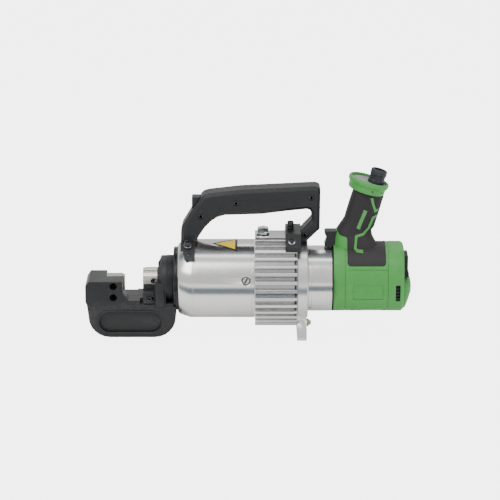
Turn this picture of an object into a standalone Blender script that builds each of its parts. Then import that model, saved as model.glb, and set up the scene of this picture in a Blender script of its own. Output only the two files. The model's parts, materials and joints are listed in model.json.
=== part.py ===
"""Electro-hydraulic rebar cutter: C-shaped cutting head, ram cylinder, radial pump, planetary drive, motor.

Row frame: X runs from the head (-X) to the motor (+X), +Z is up, and the ground is Z = 0.
"""

import math

import bmesh
import bpy
from mathutils import Matrix, Vector

for old in list(bpy.data.objects):
    bpy.data.objects.remove(old, do_unlink=True)

mm = 0.001
GAP = 0.3 * mm  # between two pieces that touch
THROUGH = 1 * mm  # a cutter runs this far past a face
SCREW_HOLE = 2.3 * mm  # radius, for the 4 mm screws
BOLT_HOLE = 2.8 * mm  # radius, for the 5 mm bolts

# ---- driving sizes ----
AXIS_Z = 78.5 * mm  # ram, pump and motor axis above the ground

HEAD_HALF = 30 * mm
HEAD_LEFT = -227.5 * mm
HEAD_RIGHT = -101 * mm
ARM_TOP = 81.3 * mm
MOUTH_LEFT = -176 * mm
MOUTH_RIGHT = -147.4 * mm
MOUTH_FLOOR = 54 * mm
CORNER_RADIUS = 30 * mm
BLOCK_RIGHT = -115 * mm  # where the flat block behind the mouth ends
BOW_TOP = 50 * mm
LEDGE_Z = 42 * mm
LEDGE_DEPTH = 2 * mm
RECESS_LENGTH = 88 * mm
RECESS_HEIGHT = 30 * mm
RECESS_DEPTH = 6 * mm
RECESS_CENTRE = (-165 * mm, 22 * mm)

BLADE_LENGTH = 25.8 * mm
BLADE_THICK = 15.85 * mm
BLADE_REACH = 2.8 * mm  # fixed blade past its wall, into the mouth
BLADE_BOTTOM = 53 * mm
SHEAR_GAP = 0.15 * mm  # each blade's face from the shear plane Y = 0
BLADE_BOLT_X = -188.3 * mm
BLADE_BOLT_Z = (74.6 * mm, 58.4 * mm)

ROD_RADIUS = 15.5 * mm
ROD_CLEARANCE = 0.4 * mm
BLADE_END = -123 * mm  # rear end of the moving blade
NECK_RADIUS = 32.5 * mm
NECK_START = -121 * mm
SPIGOT_RADIUS = 26 * mm
SPIGOT_END = -84.3 * mm
GUIDE_WALL = 3 * mm
COLLAR_RADIUS = 44.7 * mm
COLLAR_WIDTH = 5.6 * mm

STOP_LENGTH = 15.6 * mm
STOP_BOTTOM = 48.3 * mm
STOP_HEIGHT = 17.7 * mm
STOP_TRAVEL = 4 * mm

CYLINDER_START = -98.5 * mm
CYLINDER_END = 9.1 * mm
CYLINDER_RADIUS = 55 * mm
NOSE_DROP = 9 * mm  # how much smaller its front face is
NOSE_LENGTH = 17.5 * mm
BORE_RADIUS = 36 * mm
CYLINDER_FLOOR = 21.1 * mm  # solid end behind the bore
PISTON_WIDTH = 16.3 * mm
PORT_RADIUS = 4 * mm
SPRING_WIRE = 2.4 * mm
SPRING_RADIUS = 23 * mm
SPRING_TURNS = 4.5
RELEASE_OFFSET = 12.1 * mm  # from the cylinder's rear face
RELEASE_TILT = math.radians(12)
RELEASE_RADIUS = 6 * mm

CASE_LENGTH = 58.6 * mm
CASE_RADIUS = 66.5 * mm
CASE_BORE = 50 * mm
CASE_WALL = 4.6 * mm
FIN_COUNT = 36
GROOVE_DEPTH = 4.6 * mm
GROOVE_SHARE = 0.6  # groove width over fin pitch
LAND_HALF = 20 * mm
LAND_HEIGHT = 64 * mm
PLUG_OFFSET = 11.3 * mm  # from the case's front face
PLUG_RADIUS = 9.5 * mm
PLUG_HEIGHT = 9 * mm
BLOCK_RADIUS = 34 * mm
BLOCK_LENGTH = 30 * mm
CAM_BORE = 12 * mm
CAM_RADIUS = 9 * mm
CAM_OFFSET = 1.5 * mm
PLUNGER_RADIUS = 3.9 * mm
SHAFT_RADIUS = 6 * mm
BEARING_RADIUS = 16 * mm

FLANGE_RADIUS = 55.5 * mm
FLANGE_WIDTH = 14.7 * mm
FOOT_HALF = 44 * mm
FOOT_WIDTH = 13.5 * mm

GEAR_MODULE = 1.25 * mm
SUN_TEETH = 12
PLANET_TEETH = 18
RING_TEETH = SUN_TEETH + 2 * PLANET_TEETH
PLANETS = 3
GEAR_WIDTH = 11 * mm
PIN_RADIUS = 3.5 * mm

ADAPTOR_RADIUS = 46 * mm
ADAPTOR_LENGTH = 33.7 * mm
ADAPTOR_WALL = 7.7 * mm
GASKET_WIDTH = 1.4 * mm

MOTOR_LENGTH = 108.5 * mm  # with its tail
TAIL_LENGTH = 10.5 * mm
MOTOR_HALF_HEIGHT = 47.6 * mm
MOTOR_HALF_WIDTH = 42 * mm
MOTOR_RISE = 3.5 * mm  # housing centre above the motor axis
SKIN = 2.5 * mm  # soft overmould thickness
SHELL_WALL = 3 * mm
END_WALL = 4.5 * mm
OVERMOULD_LOW = 107 * mm
BUMPER_HALF = 16 * mm
BUMPER_HEIGHT = 31 * mm
ARMATURE_RADIUS = 27.5 * mm
STATOR_WALL = 6.5 * mm
STATOR_LENGTH = 46 * mm
MOTOR_SHAFT = 5 * mm
BEARING_OUTER = 11 * mm

GRIP_TILT = math.radians(16.5)
GRIP_OFFSET = 28 * mm  # behind the housing's front
GRIP_FOOT_Z = 135 * mm
GRIP_LENGTH = 72.5 * mm
GRIP_HALF_DEPTH = 21.8 * mm
GRIP_HALF_WIDTH = 18.5 * mm
RING_RADIUS = 28.7 * mm
RING_HEIGHT = 17 * mm
RING_SHIFT = -4.2 * mm
INLET_RADIUS = 11.5 * mm
INLET_WALL = 3.2 * mm
INLET_SHIFT = 5.6 * mm
INLET_TOP = 106.4 * mm
TRIGGER_HALF = 9 * mm
TRIGGER_BOTTOM = 126 * mm
TRIGGER_HEIGHT = 23 * mm
TRIGGER_REACH = 13 * mm  # in front of the housing
TRIGGER_TRAVEL = 6 * mm

HANDLE_HALF = 18 * mm
HANDLE_BEVEL = 4.5 * mm
CLAMP_START = -94 * mm
CLAMP_LENGTH = 20 * mm
CLAMP_WALL = 5 * mm
CLAMP_ANGLE = math.radians(48)
CLAMP_CORNER = 48.5 * mm  # above the axis, where its front half ends
CLAMP_TAB = 5.5 * mm  # its narrower ends start this far back
CLAMP_BOLT_ANGLE = math.radians(28)
BRACKET_OFFSET = 16.3 * mm  # its front face before the case's end
BRACKET_LENGTH = 21.7 * mm
BRACKET_TOP = 150 * mm
BRACKET_HALF = 44 * mm
TONGUE_HALF = 6 * mm
LENS_RADIUS = 5.6 * mm

AXIS = Vector((0, 0, AXIS_Z))
GRIP_UP = Vector((math.sin(GRIP_TILT), 0, math.cos(GRIP_TILT)))
GRIP_BACK = Vector((math.cos(GRIP_TILT), 0, -math.sin(GRIP_TILT)))
FRONT_Y = Vector((0, 1, 0))
ALONG_X = Vector((1, 0, 0))

FINISHES = {  # colour, roughness, metallic
    "black_steel": ((0.085, 0.088, 0.092, 1), 0.5, 0.6),
    "tool_steel": ((0.62, 0.6, 0.56, 1), 0.3, 1.0),
    "machined_aluminium": ((0.75, 0.74, 0.71, 1), 0.28, 1.0),
    "chrome": ((0.78, 0.78, 0.78, 1), 0.12, 1.0),
    "brass": ((0.45, 0.4, 0.22, 1), 0.35, 1.0),
    "green_plastic": ((0.18, 0.42, 0.15, 1), 0.45, 0.0),
    "black_rubber": ((0.06, 0.052, 0.055, 1), 0.75, 0.0),
    "black_plastic": ((0.045, 0.047, 0.05, 1), 0.5, 0.0),
    "grey_plastic": ((0.27, 0.26, 0.26, 1), 0.5, 0.0),
    "copper_windings": ((0.5, 0.22, 0.1, 1), 0.45, 0.8),
    "clear_lens": ((0.2, 0.22, 0.24, 1), 0.1, 0.0),
}


# ---- tools ----
def finish_of(name):
    """The material of this name, made on first use."""
    if name in bpy.data.materials:
        return bpy.data.materials[name]
    colour, roughness, metallic = FINISHES[name]
    made = bpy.data.materials.new(name)
    made.use_nodes = True
    shader = made.node_tree.nodes["Principled BSDF"]
    shader.inputs["Base Color"].default_value = colour
    shader.inputs["Roughness"].default_value = roughness
    shader.inputs["Metallic"].default_value = metallic
    return made


def solid(name, form, finish=None):
    """Turns a closed bmesh into an object with its normals outwards."""
    bmesh.ops.remove_doubles(form, verts=form.verts, dist=1e-7)
    bmesh.ops.recalc_face_normals(form, faces=form.faces)
    mesh = bpy.data.meshes.new(name)
    form.to_mesh(mesh)
    form.free()
    if finish:
        mesh.materials.append(finish_of(finish))
    made = bpy.data.objects.new(name, mesh)
    bpy.context.collection.objects.link(made)
    return made


def combine(body, tool, operation="DIFFERENCE"):
    """Boolean of body with tool. The tool is used up."""
    step = body.modifiers.new("combine", "BOOLEAN")
    step.operation = operation
    step.object = tool
    bpy.context.view_layer.update()
    graph = bpy.context.evaluated_depsgraph_get()
    result = bpy.data.meshes.new_from_object(body.evaluated_get(graph))
    body.modifiers.remove(step)
    used = body.data
    body.data = result
    bpy.data.meshes.remove(used)
    bpy.data.objects.remove(tool, do_unlink=True)
    return body


def cut(body, *tools):
    for tool in tools:
        combine(body, tool)
    return body


def join(body, *others):
    for other in others:
        combine(body, other, "UNION")
    return body


def copy_of(original, name="copy"):
    twin = original.copy()
    twin.data = original.data.copy()
    twin.name = name
    twin.data.name = name
    bpy.context.collection.objects.link(twin)
    return twin


def smooth(body, angle=30):
    body.data.shade_smooth()
    body.data.set_sharp_from_angle(angle=math.radians(angle))
    return body


def centre_on(body, point):
    """Moves the object's origin to a world point, the shape staying where it is."""
    body.data.transform(Matrix.Translation(-point))
    body.location = point
    return body


def arc(centre, radius, start, end, count):
    """Points from start to end degrees round a 2-D centre."""
    points = []
    for step in range(count + 1):
        angle = math.radians(start + (end - start) * step / count)
        points.append((centre[0] + radius * math.cos(angle), centre[1] + radius * math.sin(angle)))
    return points


def prism(name, outline, low, high, finish=None, axis="Y", bevel=0):
    """An outline in the plane across the axis (X, Y or Z), extruded from low to high."""
    place = {
        "X": lambda point, depth: (depth, point[0], point[1]),
        "Y": lambda point, depth: (point[0], depth, point[1]),
        "Z": lambda point, depth: (point[0], point[1], depth),
    }[axis]
    form = bmesh.new()
    face = form.faces.new([form.verts.new(place(point, low)) for point in outline])
    grown = bmesh.ops.extrude_face_region(form, geom=[face])["geom"]
    shift = Vector(place((0, 0), high - low))
    bmesh.ops.translate(form, vec=shift, verts=[v for v in grown if isinstance(v, bmesh.types.BMVert)])
    if bevel:
        rim = [edge for edge in form.edges if on_rim(edge, axis, low, high)]
        bmesh.ops.bevel(form, geom=rim, offset=bevel, segments=1, profile=0.5, affect="EDGES", material=-1)
    return solid(name, form, finish)


def on_rim(edge, axis, low, high):
    """Whether an edge lies in one of the two end faces."""
    depths = [vert.co["XYZ".index(axis)] for vert in edge.verts]
    return any(all(abs(depth - end) < 1e-6 for depth in depths) for end in (low, high))


def block(name, low, high, finish=None):
    """A box between two corners."""
    outline = [(low[0], low[2]), (high[0], low[2]), (high[0], high[2]), (low[0], high[2])]
    return prism(name, outline, low[1], high[1], finish)


def turned(name, profile, finish=None, sides=40, origin=AXIS, axis=ALONG_X):
    """A profile of (distance along, radius) points turned about an axis through origin."""
    form = bmesh.new()
    points = [form.verts.new((radius, 0, along)) for along, radius in profile]
    on_axis = profile[0][1] == 0 and profile[-1][1] == 0
    pairs = list(zip(points, points[1:])) + ([] if on_axis else [(points[-1], points[0])])
    edges = [form.edges.new(pair) for pair in pairs]
    bmesh.ops.spin(
        form, geom=points + edges, cent=(0, 0, 0), axis=(0, 0, 1), angle=math.tau, steps=sides, use_merge=True
    )
    turn = Vector(axis).to_track_quat("Z", "Y").to_matrix().to_4x4()
    bmesh.ops.transform(form, matrix=Matrix.Translation(origin) @ turn, verts=form.verts)
    return solid(name, form, finish)


def rod(name, start, end, radius, finish=None, sides=16, origin=AXIS, axis=ALONG_X):
    """A plain round bar."""
    return turned(name, [(start, 0), (start, radius), (end, radius), (end, 0)], finish, sides, origin, axis)


def ring(name, start, end, inner, outer, finish=None, sides=32, origin=AXIS, axis=ALONG_X):
    """A plain round sleeve."""
    profile = [(start, inner), (start, outer), (end, outer), (end, inner)]
    return turned(name, profile, finish, sides, origin, axis)


def bolt(name, under_head, tip, head, head_height, shank, origin, axis, finish="black_steel"):
    """A cap screw: its axis points from the tip out through the head."""
    profile = [
        (tip, 0),
        (tip, shank),
        (under_head, shank),
        (under_head, head),
        (under_head + head_height, head),
        (under_head + head_height, 0),
    ]
    return smooth(turned(name, profile, finish, 10, origin, axis))


def loft(name, sections, finish=None, sides=20, power=2.6):
    """Superellipse rings bridged in turn. A section is its centre and its two half-axis vectors."""
    form = bmesh.new()
    rings = []
    for centre, first, second in sections:
        verts = []
        for step in range(sides):
            angle = math.tau * (step + 0.5) / sides
            across = math.copysign(abs(math.cos(angle)) ** (2 / power), math.cos(angle))
            up = math.copysign(abs(math.sin(angle)) ** (2 / power), math.sin(angle))
            verts.append(form.verts.new(centre + first * across + second * up))
        edges = [form.edges.new((verts[step], verts[(step + 1) % sides])) for step in range(sides)]
        rings.append((verts, edges))
    for (_, first_edges), (_, next_edges) in zip(rings, rings[1:]):
        bmesh.ops.bridge_loops(form, edges=first_edges + next_edges)
    for verts, _ in (rings[0], rings[-1]):
        form.faces.new(verts)
    return solid(name, form, finish)


def gear_outline(teeth, phase, inward=False):
    """Trapezoid teeth on a pitch circle; inward gives the hole of a ring gear."""
    pitch = teeth * GEAR_MODULE / 2
    side = -1 if inward else 1
    root, tip = pitch - side * 1.15 * GEAR_MODULE, pitch + side * 0.75 * GEAR_MODULE
    root_half, tip_half = 0.9 * GEAR_MODULE, 0.32 * GEAR_MODULE
    points = []
    for tooth in range(teeth):
        middle = phase + math.tau * tooth / teeth
        for radius, half in ((root, -root_half), (tip, -tip_half), (tip, tip_half), (root, root_half)):
            angle = middle + half / radius
            points.append((radius * math.cos(angle), radius * math.sin(angle)))
    return points


def lifted(outline, across=0, up=AXIS_Z):
    return [(y + across, z + up) for y, z in outline]


# ---- cutting head ----
# ---- places that follow from the sizes ----
bore_end = CYLINDER_END - CYLINDER_FLOOR
release_x = CYLINDER_END - RELEASE_OFFSET
case_start = CYLINDER_END + GAP
case_end = case_start + CASE_LENGTH
plug_x = case_start + PLUG_OFFSET
bracket_start = case_end - BRACKET_OFFSET
flange_start = case_end + GAP
flange_end = flange_start + FLANGE_WIDTH
adaptor_start = flange_end + GAP
adaptor_end = adaptor_start + ADAPTOR_LENGTH
motor_start = adaptor_end + GAP + GASKET_WIDTH + GAP
motor_end = motor_start + MOTOR_LENGTH
shell_end = motor_end - TAIL_LENGTH
grip_foot = Vector((motor_start + GRIP_OFFSET, 0, GRIP_FOOT_Z))


def head_outline():
    """Side view of the C-shaped head, anticlockwise from the top left corner."""
    left = HEAD_LEFT + 4 * mm
    corner = (left + CORNER_RADIUS, CORNER_RADIUS)
    far_corner = (HEAD_RIGHT - CORNER_RADIUS, CORNER_RADIUS)
    points = [
        (HEAD_LEFT + 5 * mm, ARM_TOP),
        (HEAD_LEFT, ARM_TOP - 7 * mm),
        (HEAD_LEFT, BOW_TOP + 2 * mm),
        (left - 2 * mm, BOW_TOP - 2 * mm),
    ]
    points += arc(corner, CORNER_RADIUS, 180, 270, 6)
    points += arc(far_corner, CORNER_RADIUS, 270, 360, 6)
    points += [
        (HEAD_RIGHT, BOW_TOP - 4 * mm),
        (HEAD_RIGHT - 4 * mm, BOW_TOP),
        (BLOCK_RIGHT, BOW_TOP),
        (BLOCK_RIGHT, ARM_TOP),
        (MOUTH_RIGHT, ARM_TOP),
        (MOUTH_RIGHT, MOUTH_FLOOR),
        (MOUTH_LEFT + 8 * mm, MOUTH_FLOOR),
        (MOUTH_LEFT, MOUTH_FLOOR + 10 * mm),
        (MOUTH_LEFT, ARM_TOP),
    ]
    return points


def stadium(centre, length, height, count=6):
    """A slot shape with round ends."""
    reach, radius = (length - height) / 2, height / 2
    right = arc((centre[0] + reach, centre[1]), radius, -90, 90, count)
    return right + arc((centre[0] - reach, centre[1]), radius, 90, 270, count)


blade_left = MOUTH_LEFT + BLADE_REACH - BLADE_LENGTH
guide_start = CYLINDER_START - 4.5 * mm
collar_start = CYLINDER_START - GAP - COLLAR_WIDTH
neck_end = collar_start - GAP
trough_radius = ROD_RADIUS + ROD_CLEARANCE


def make_head():
    head = prism("cutter_head", head_outline(), -HEAD_HALF, HEAD_HALF, "black_steel")
    far = HEAD_HALF + THROUGH
    for side in (-1, 1):
        face = side * (HEAD_HALF - LEDGE_DEPTH)
        low, high = sorted((face, side * far))
        cut(head, block("ledge", (HEAD_LEFT - THROUGH, low, -THROUGH), (0, high, LEDGE_Z)))
        low, high = sorted((face - side * RECESS_DEPTH, side * far))
        oval = stadium(RECESS_CENTRE, RECESS_LENGTH, RECESS_HEIGHT)
        cut(head, prism("recess", oval, low, high))
    cut(head, block("seat", (blade_left - GAP, -SHEAR_GAP, BLADE_BOTTOM - GAP), (MOUTH_LEFT + 20 * mm, far, 1)))
    cut(head, rod("collar_room", neck_end, 0, COLLAR_RADIUS + GAP, None, 40))
    neck = [(NECK_START - 6 * mm, 0), (NECK_START - 6 * mm, NECK_RADIUS - 8 * mm), (NECK_START, NECK_RADIUS)]
    neck += [(neck_end - GAP, NECK_RADIUS), (neck_end - GAP, SPIGOT_RADIUS), (SPIGOT_END, SPIGOT_RADIUS)]
    join(head, turned("neck", neck + [(SPIGOT_END, 0)], None, 32))
    reach = MOUTH_RIGHT - 10 * mm
    cut(head, rod("trough", reach, NECK_START - 2 * mm, trough_radius, None, 24))
    top_low = (reach, -trough_radius, AXIS_Z)
    cut(head, block("trough_top", top_low, (NECK_START - 2 * mm, trough_radius, ARM_TOP + NECK_RADIUS)))
    hole_start, hole_end = NECK_START - 3 * mm, SPIGOT_END + THROUGH
    hole_radius, guide_room = trough_radius + 0.6 * mm, trough_radius + GUIDE_WALL + GAP
    passage = [(hole_start, 0), (hole_start, hole_radius), (guide_start - GAP, hole_radius)]
    passage += [(guide_start - GAP, guide_room), (hole_end, guide_room), (hole_end, 0)]
    cut(head, turned("rod_passage", passage, None, 24))
    window_low = (MOUTH_RIGHT - STOP_TRAVEL, -far, STOP_BOTTOM - GAP)
    window_high = (MOUTH_RIGHT + STOP_LENGTH + 1.3 * mm, -trough_radius + 1 * mm, ARM_TOP + THROUGH)
    cut(head, block("window", window_low, window_high))
    for height in BLADE_BOLT_Z:
        where = Vector((BLADE_BOLT_X, 0, height))
        cut(
            head,
            rod("counterbore", -far, -12 * mm, 5.3 * mm, None, 16, where, FRONT_Y),
            rod("bolt_hole", -13 * mm, THROUGH, 3.3 * mm, None, 12, where, FRONT_Y),
        )
    screw_at = Vector((MOUTH_RIGHT + 9.4 * mm, 0, STOP_BOTTOM + 8 * mm))
    cut(head, rod("screw_hole", -16 * mm, -8 * mm, SCREW_HOLE, None, 12, screw_at, FRONT_Y))
    return smooth(head)


def make_head_fittings():
    right = blade_left + BLADE_LENGTH
    back = SHEAR_GAP + BLADE_THICK
    outline = [(blade_left, SHEAR_GAP), (right, SHEAR_GAP), (right, back - 7 * mm), (right - 4 * mm, back)]
    outline.append((blade_left, back))
    blade = prism("fixed_blade", outline, BLADE_BOTTOM, ARM_TOP + 0.2 * mm, "tool_steel", "Z")
    for count, height in enumerate(BLADE_BOLT_Z, 1):
        where = Vector((BLADE_BOLT_X, 0, height))
        cut(blade, rod("hole", -THROUGH, 12 * mm, 3.3 * mm, None, 12, where, FRONT_Y))
        bolt(f"blade_bolt_{count}", 12.3 * mm, -11.7 * mm, 4.8 * mm, 7 * mm, 3 * mm, where, -FRONT_Y)
    collar = [
        (collar_start, SPIGOT_RADIUS + GAP),
        (collar_start, COLLAR_RADIUS - 1.5 * mm),
        (collar_start + 1.5 * mm, COLLAR_RADIUS),
        (collar_start + COLLAR_WIDTH, COLLAR_RADIUS),
        (collar_start + COLLAR_WIDTH, SPIGOT_RADIUS + GAP),
    ]
    smooth(turned("collar_nut", collar, "black_steel", 32))
    inner = ROD_RADIUS + ROD_CLEARANCE
    smooth(ring("rod_guide", guide_start, SPIGOT_END - GAP, inner, inner + GUIDE_WALL, "brass", 24))

    front, rear = -27.5 * mm, -trough_radius + 1 * mm - GAP
    left, low = MOUTH_RIGHT + 0.6 * mm, STOP_BOTTOM
    stop = block("rebar_stop", (left, front, low), (left + STOP_LENGTH, rear, low + STOP_HEIGHT), "black_steel")
    screw_x, screw_z = MOUTH_RIGHT + 9.4 * mm, low + 8 * mm
    slot = stadium((screw_x + STOP_TRAVEL / 2, screw_z), 4.6 * mm + STOP_TRAVEL, 4.6 * mm, 4)
    cut(stop, prism("slot", slot, front - THROUGH, rear + THROUGH))
    screw_at = Vector((screw_x, 0, screw_z))
    bolt("stop_screw", -front + GAP, 8.5 * mm, 3.7 * mm, 2.2 * mm, 2 * mm, screw_at, -FRONT_Y)


# ---- ram ----
piston_end = bore_end - 1.7 * mm
piston_start = piston_end - PISTON_WIDTH


def make_ram():
    tip = MOUTH_RIGHT + 2.4 * mm
    outer = BORE_RADIUS - GAP
    groove = (piston_end - 10.5 * mm, piston_end - 5.5 * mm, outer - 3.4 * mm)
    profile = [
        (tip, 0),
        (tip, ROD_RADIUS - 1 * mm),
        (tip + 1 * mm, ROD_RADIUS),
        (piston_start, ROD_RADIUS),
        (piston_start, outer),
        (groove[0], outer),
        (groove[0], groove[2]),
        (groove[1], groove[2]),
        (groove[1], outer),
        (piston_end, outer),
        (piston_end, 0),
    ]
    ram = turned("ram", profile, "tool_steel", 28)
    room = (tip - THROUGH, -ROD_RADIUS - THROUGH, AXIS_Z - ROD_RADIUS - THROUGH)
    cut(ram, block("blade_seat", room, (BLADE_END + GAP, SHEAR_GAP, AXIS_Z + ROD_RADIUS + THROUGH)))
    bolt_at = Vector((MOUTH_RIGHT + 15.4 * mm, 0, AXIS_Z))
    hole_y = 6 * mm
    cut(ram, rod("hole", -8 * mm, 11 * mm, SCREW_HOLE, None, 12, bolt_at, FRONT_Y))
    seal_width = (groove[0] + GAP, groove[1] - GAP)
    smooth(ring("piston_seal", *seal_width, groove[2] + GAP, BORE_RADIUS - GAP, "black_rubber", 24))

    outline = arc((-SHEAR_GAP, AXIS_Z), ROD_RADIUS - SHEAR_GAP, 90, 240, 12)
    outline.append((-SHEAR_GAP, outline[-1][1]))
    blade = prism("moving_blade", outline, MOUTH_RIGHT, BLADE_END, "tool_steel", "X")
    cut(blade, rod("hole", -ROD_RADIUS - THROUGH, THROUGH, SCREW_HOLE, None, 12, bolt_at, FRONT_Y))
    cut(blade, rod("counterbore", -ROD_RADIUS - THROUGH, -hole_y - 4 * mm, 4.2 * mm, None, 16, bolt_at, FRONT_Y))
    bolt("moving_blade_bolt", hole_y + 4 * mm + GAP, -10.5 * mm, 3.8 * mm, 3.6 * mm, 2 * mm, bolt_at, -FRONT_Y)
    return smooth(ram), blade


def make_spring():
    """Open coil from the cylinder's shoulder to the piston, as a tube along a helix."""
    start = SPIGOT_END + GAP + SPRING_WIRE
    end = piston_start - GAP - SPRING_WIRE
    steps = round(SPRING_TURNS * 11)
    wire = bpy.data.curves.new("return_spring", "CURVE")
    wire.dimensions = "3D"
    wire.bevel_depth = SPRING_WIRE
    wire.bevel_resolution = 1
    wire.use_fill_caps = True
    line = wire.splines.new("POLY")
    line.points.add(steps)
    for step in range(steps + 1):
        angle = math.tau * SPRING_TURNS * step / steps
        along = start + (end - start) * step / steps
        y, z = SPRING_RADIUS * math.sin(angle), AXIS_Z + SPRING_RADIUS * math.cos(angle)
        line.points[step].co = (along, y, z, 1)
    wire.materials.append(finish_of("tool_steel"))
    spring = bpy.data.objects.new("return_spring", wire)
    bpy.context.collection.objects.link(spring)


# ---- cylinder ----
release_out = Vector((0, -math.cos(RELEASE_TILT), math.sin(RELEASE_TILT)))


def make_cylinder():
    start, nose = CYLINDER_START, CYLINDER_START + NOSE_LENGTH
    shoulder, face = SPIGOT_END + GAP, CYLINDER_RADIUS - NOSE_DROP
    profile = [
        (start, SPIGOT_RADIUS + GAP),
        (start, face),
        (start + 1 * mm, face + 2.2 * mm),
        (start + 2.8 * mm, face + 4.2 * mm),
        (nose, CYLINDER_RADIUS),
        (CYLINDER_END, CYLINDER_RADIUS),
        (CYLINDER_END, PORT_RADIUS),
        (bore_end, PORT_RADIUS),
        (bore_end, BORE_RADIUS),
        (shoulder, BORE_RADIUS),
        (shoulder, SPIGOT_RADIUS + GAP),
    ]
    body = turned("ram_cylinder", profile, "machined_aluminium", 40)
    valve_at = Vector((release_x, 0, AXIS_Z))
    cut(body, rod("valve_bore", 20 * mm, 70 * mm, RELEASE_RADIUS + GAP, None, 16, valve_at, release_out))
    cut(body, rod("valve_port", 2 * mm, 21 * mm, 2 * mm, None, 12, valve_at, release_out))
    for side in (-1, 1):
        cut(body, rod("clamp_hole", 46 * mm, 60 * mm, BOLT_HOLE, None, 12, clamp_middle(), clamp_out(side)))
    smooth(body)

    face = CYLINDER_RADIUS - 2 * mm
    profile = [
        (21 * mm, 0),
        (24 * mm, 3 * mm),
        (30 * mm, 3 * mm),
        (30 * mm, RELEASE_RADIUS),
        (face, RELEASE_RADIUS),
        (face, 0),
    ]
    screw = turned("release_valve_screw", profile, "chrome", 20, valve_at, release_out)
    slot_turn = release_out.to_track_quat("Z", "Y").to_matrix().to_4x4()
    half_slot, half_reach = 0.9 * mm, RELEASE_RADIUS + THROUGH
    slot = block("slot", (-half_reach, -half_slot, face - 2 * mm), (half_reach, half_slot, face + THROUGH))
    slot.data.transform(Matrix.Translation(valve_at) @ slot_turn @ Matrix.Rotation(math.radians(60), 4, "Z"))
    cut(screw, slot)
    centre_on(smooth(screw), valve_at)


def clamp_middle():
    return Vector((CLAMP_START + CLAMP_LENGTH / 2, 0, AXIS_Z))


def clamp_out(side):
    return Vector((0, side * math.sin(CLAMP_BOLT_ANGLE), math.cos(CLAMP_BOLT_ANGLE)))


# ---- pump ----
block_start = case_start + CASE_WALL + GAP


def case_outline():
    """Round body with straight grooves, and a flat raised land on top."""
    pitch = 360 / FIN_COUNT
    half_groove = pitch * GROOVE_SHARE / 2
    land = math.degrees(math.atan2(LAND_HALF, LAND_HEIGHT))
    points = [(-LAND_HALF, LAND_HEIGHT), (LAND_HALF, LAND_HEIGHT)]
    for fin in range(FIN_COUNT):
        middle = pitch * (fin + 0.5)
        if min(middle, 360 - middle) < land + half_groove + 1:
            continue
        for turn, radius in (
            (-half_groove, CASE_RADIUS),
            (-half_groove + 0.6, CASE_RADIUS - GROOVE_DEPTH),
            (half_groove - 0.6, CASE_RADIUS - GROOVE_DEPTH),
            (half_groove, CASE_RADIUS),
        ):
            angle = math.radians(90 - middle - turn)
            points.append((radius * math.cos(angle), radius * math.sin(angle)))
    return lifted(points)


def make_pump():
    case = prism("pump_case", case_outline(), case_start, case_end, "machined_aluminium", "X")
    cut(case, rod("case_bore", case_start + CASE_WALL, case_end + THROUGH, CASE_BORE, None, 32))
    cut(case, rod("port", case_start - THROUGH, block_start, PORT_RADIUS, None, 12))
    plug_at = Vector((plug_x, 0, AXIS_Z))
    up = Vector((0, 0, 1))
    cut(case, rod("filler_hole", 40 * mm, 80 * mm, 5.3 * mm, None, 16, plug_at, up))
    bracket_at = Vector((bracket_start + 7.3 * mm, 0, AXIS_Z))
    cut(case, rod("bracket_hole", CASE_BORE + 3 * mm, 80 * mm, 2.8 * mm, None, 12, bracket_at, up))
    smooth(case)

    land = LAND_HEIGHT
    washer_top = land + GAP + 1.2 * mm
    ring("filler_washer", land + GAP, washer_top, 5.4 * mm, 8.5 * mm, "black_rubber", 20, plug_at, up)
    plug = rod("filler_plug", washer_top + GAP, washer_top + PLUG_HEIGHT, PLUG_RADIUS, "chrome", 6, plug_at, up)
    join(plug, rod("stem", CASE_BORE + 2 * mm, washer_top + 2 * mm, 5 * mm, None, 16, plug_at, up))

    end = block_start + BLOCK_LENGTH
    journal, step = SHAFT_RADIUS - 0.5 * mm, block_start + 6 * mm
    profile = [(block_start, journal), (block_start, BLOCK_RADIUS), (end, BLOCK_RADIUS), (end, CAM_BORE)]
    pump = turned("pump_block", profile + [(step, CAM_BORE), (step, journal)], "machined_aluminium", 24)
    cam_x = cam_start + 5 * mm
    for count, side in enumerate((1, -1), 1):
        where = Vector((cam_x, 0, AXIS_Z))
        out = Vector((0, 0, side))
        bore_radius = PLUNGER_RADIUS + GAP
        cut(pump, rod("plunger_bore", CAM_BORE - 2 * mm, BLOCK_RADIUS + THROUGH, bore_radius, None, 12, where, out))
        inner = CAM_RADIUS + CAM_OFFSET + GAP
        smooth(rod(f"pump_plunger_{count}", inner, inner + 20 * mm, PLUNGER_RADIUS, "tool_steel", 12, where, out))
    smooth(pump)
    ring("oil_bladder", block_start + 2 * mm, case_end - 6 * mm, BLOCK_RADIUS + 3 * mm, 46 * mm, "black_rubber", 20)


cam_start = block_start + 10 * mm
carrier_start = adaptor_start + 4 * mm
gear_start = carrier_start + 5.5 * mm
web_start = gear_start + GEAR_WIDTH + 3.5 * mm
orbit = (SUN_TEETH + PLANET_TEETH) * GEAR_MODULE / 2


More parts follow.
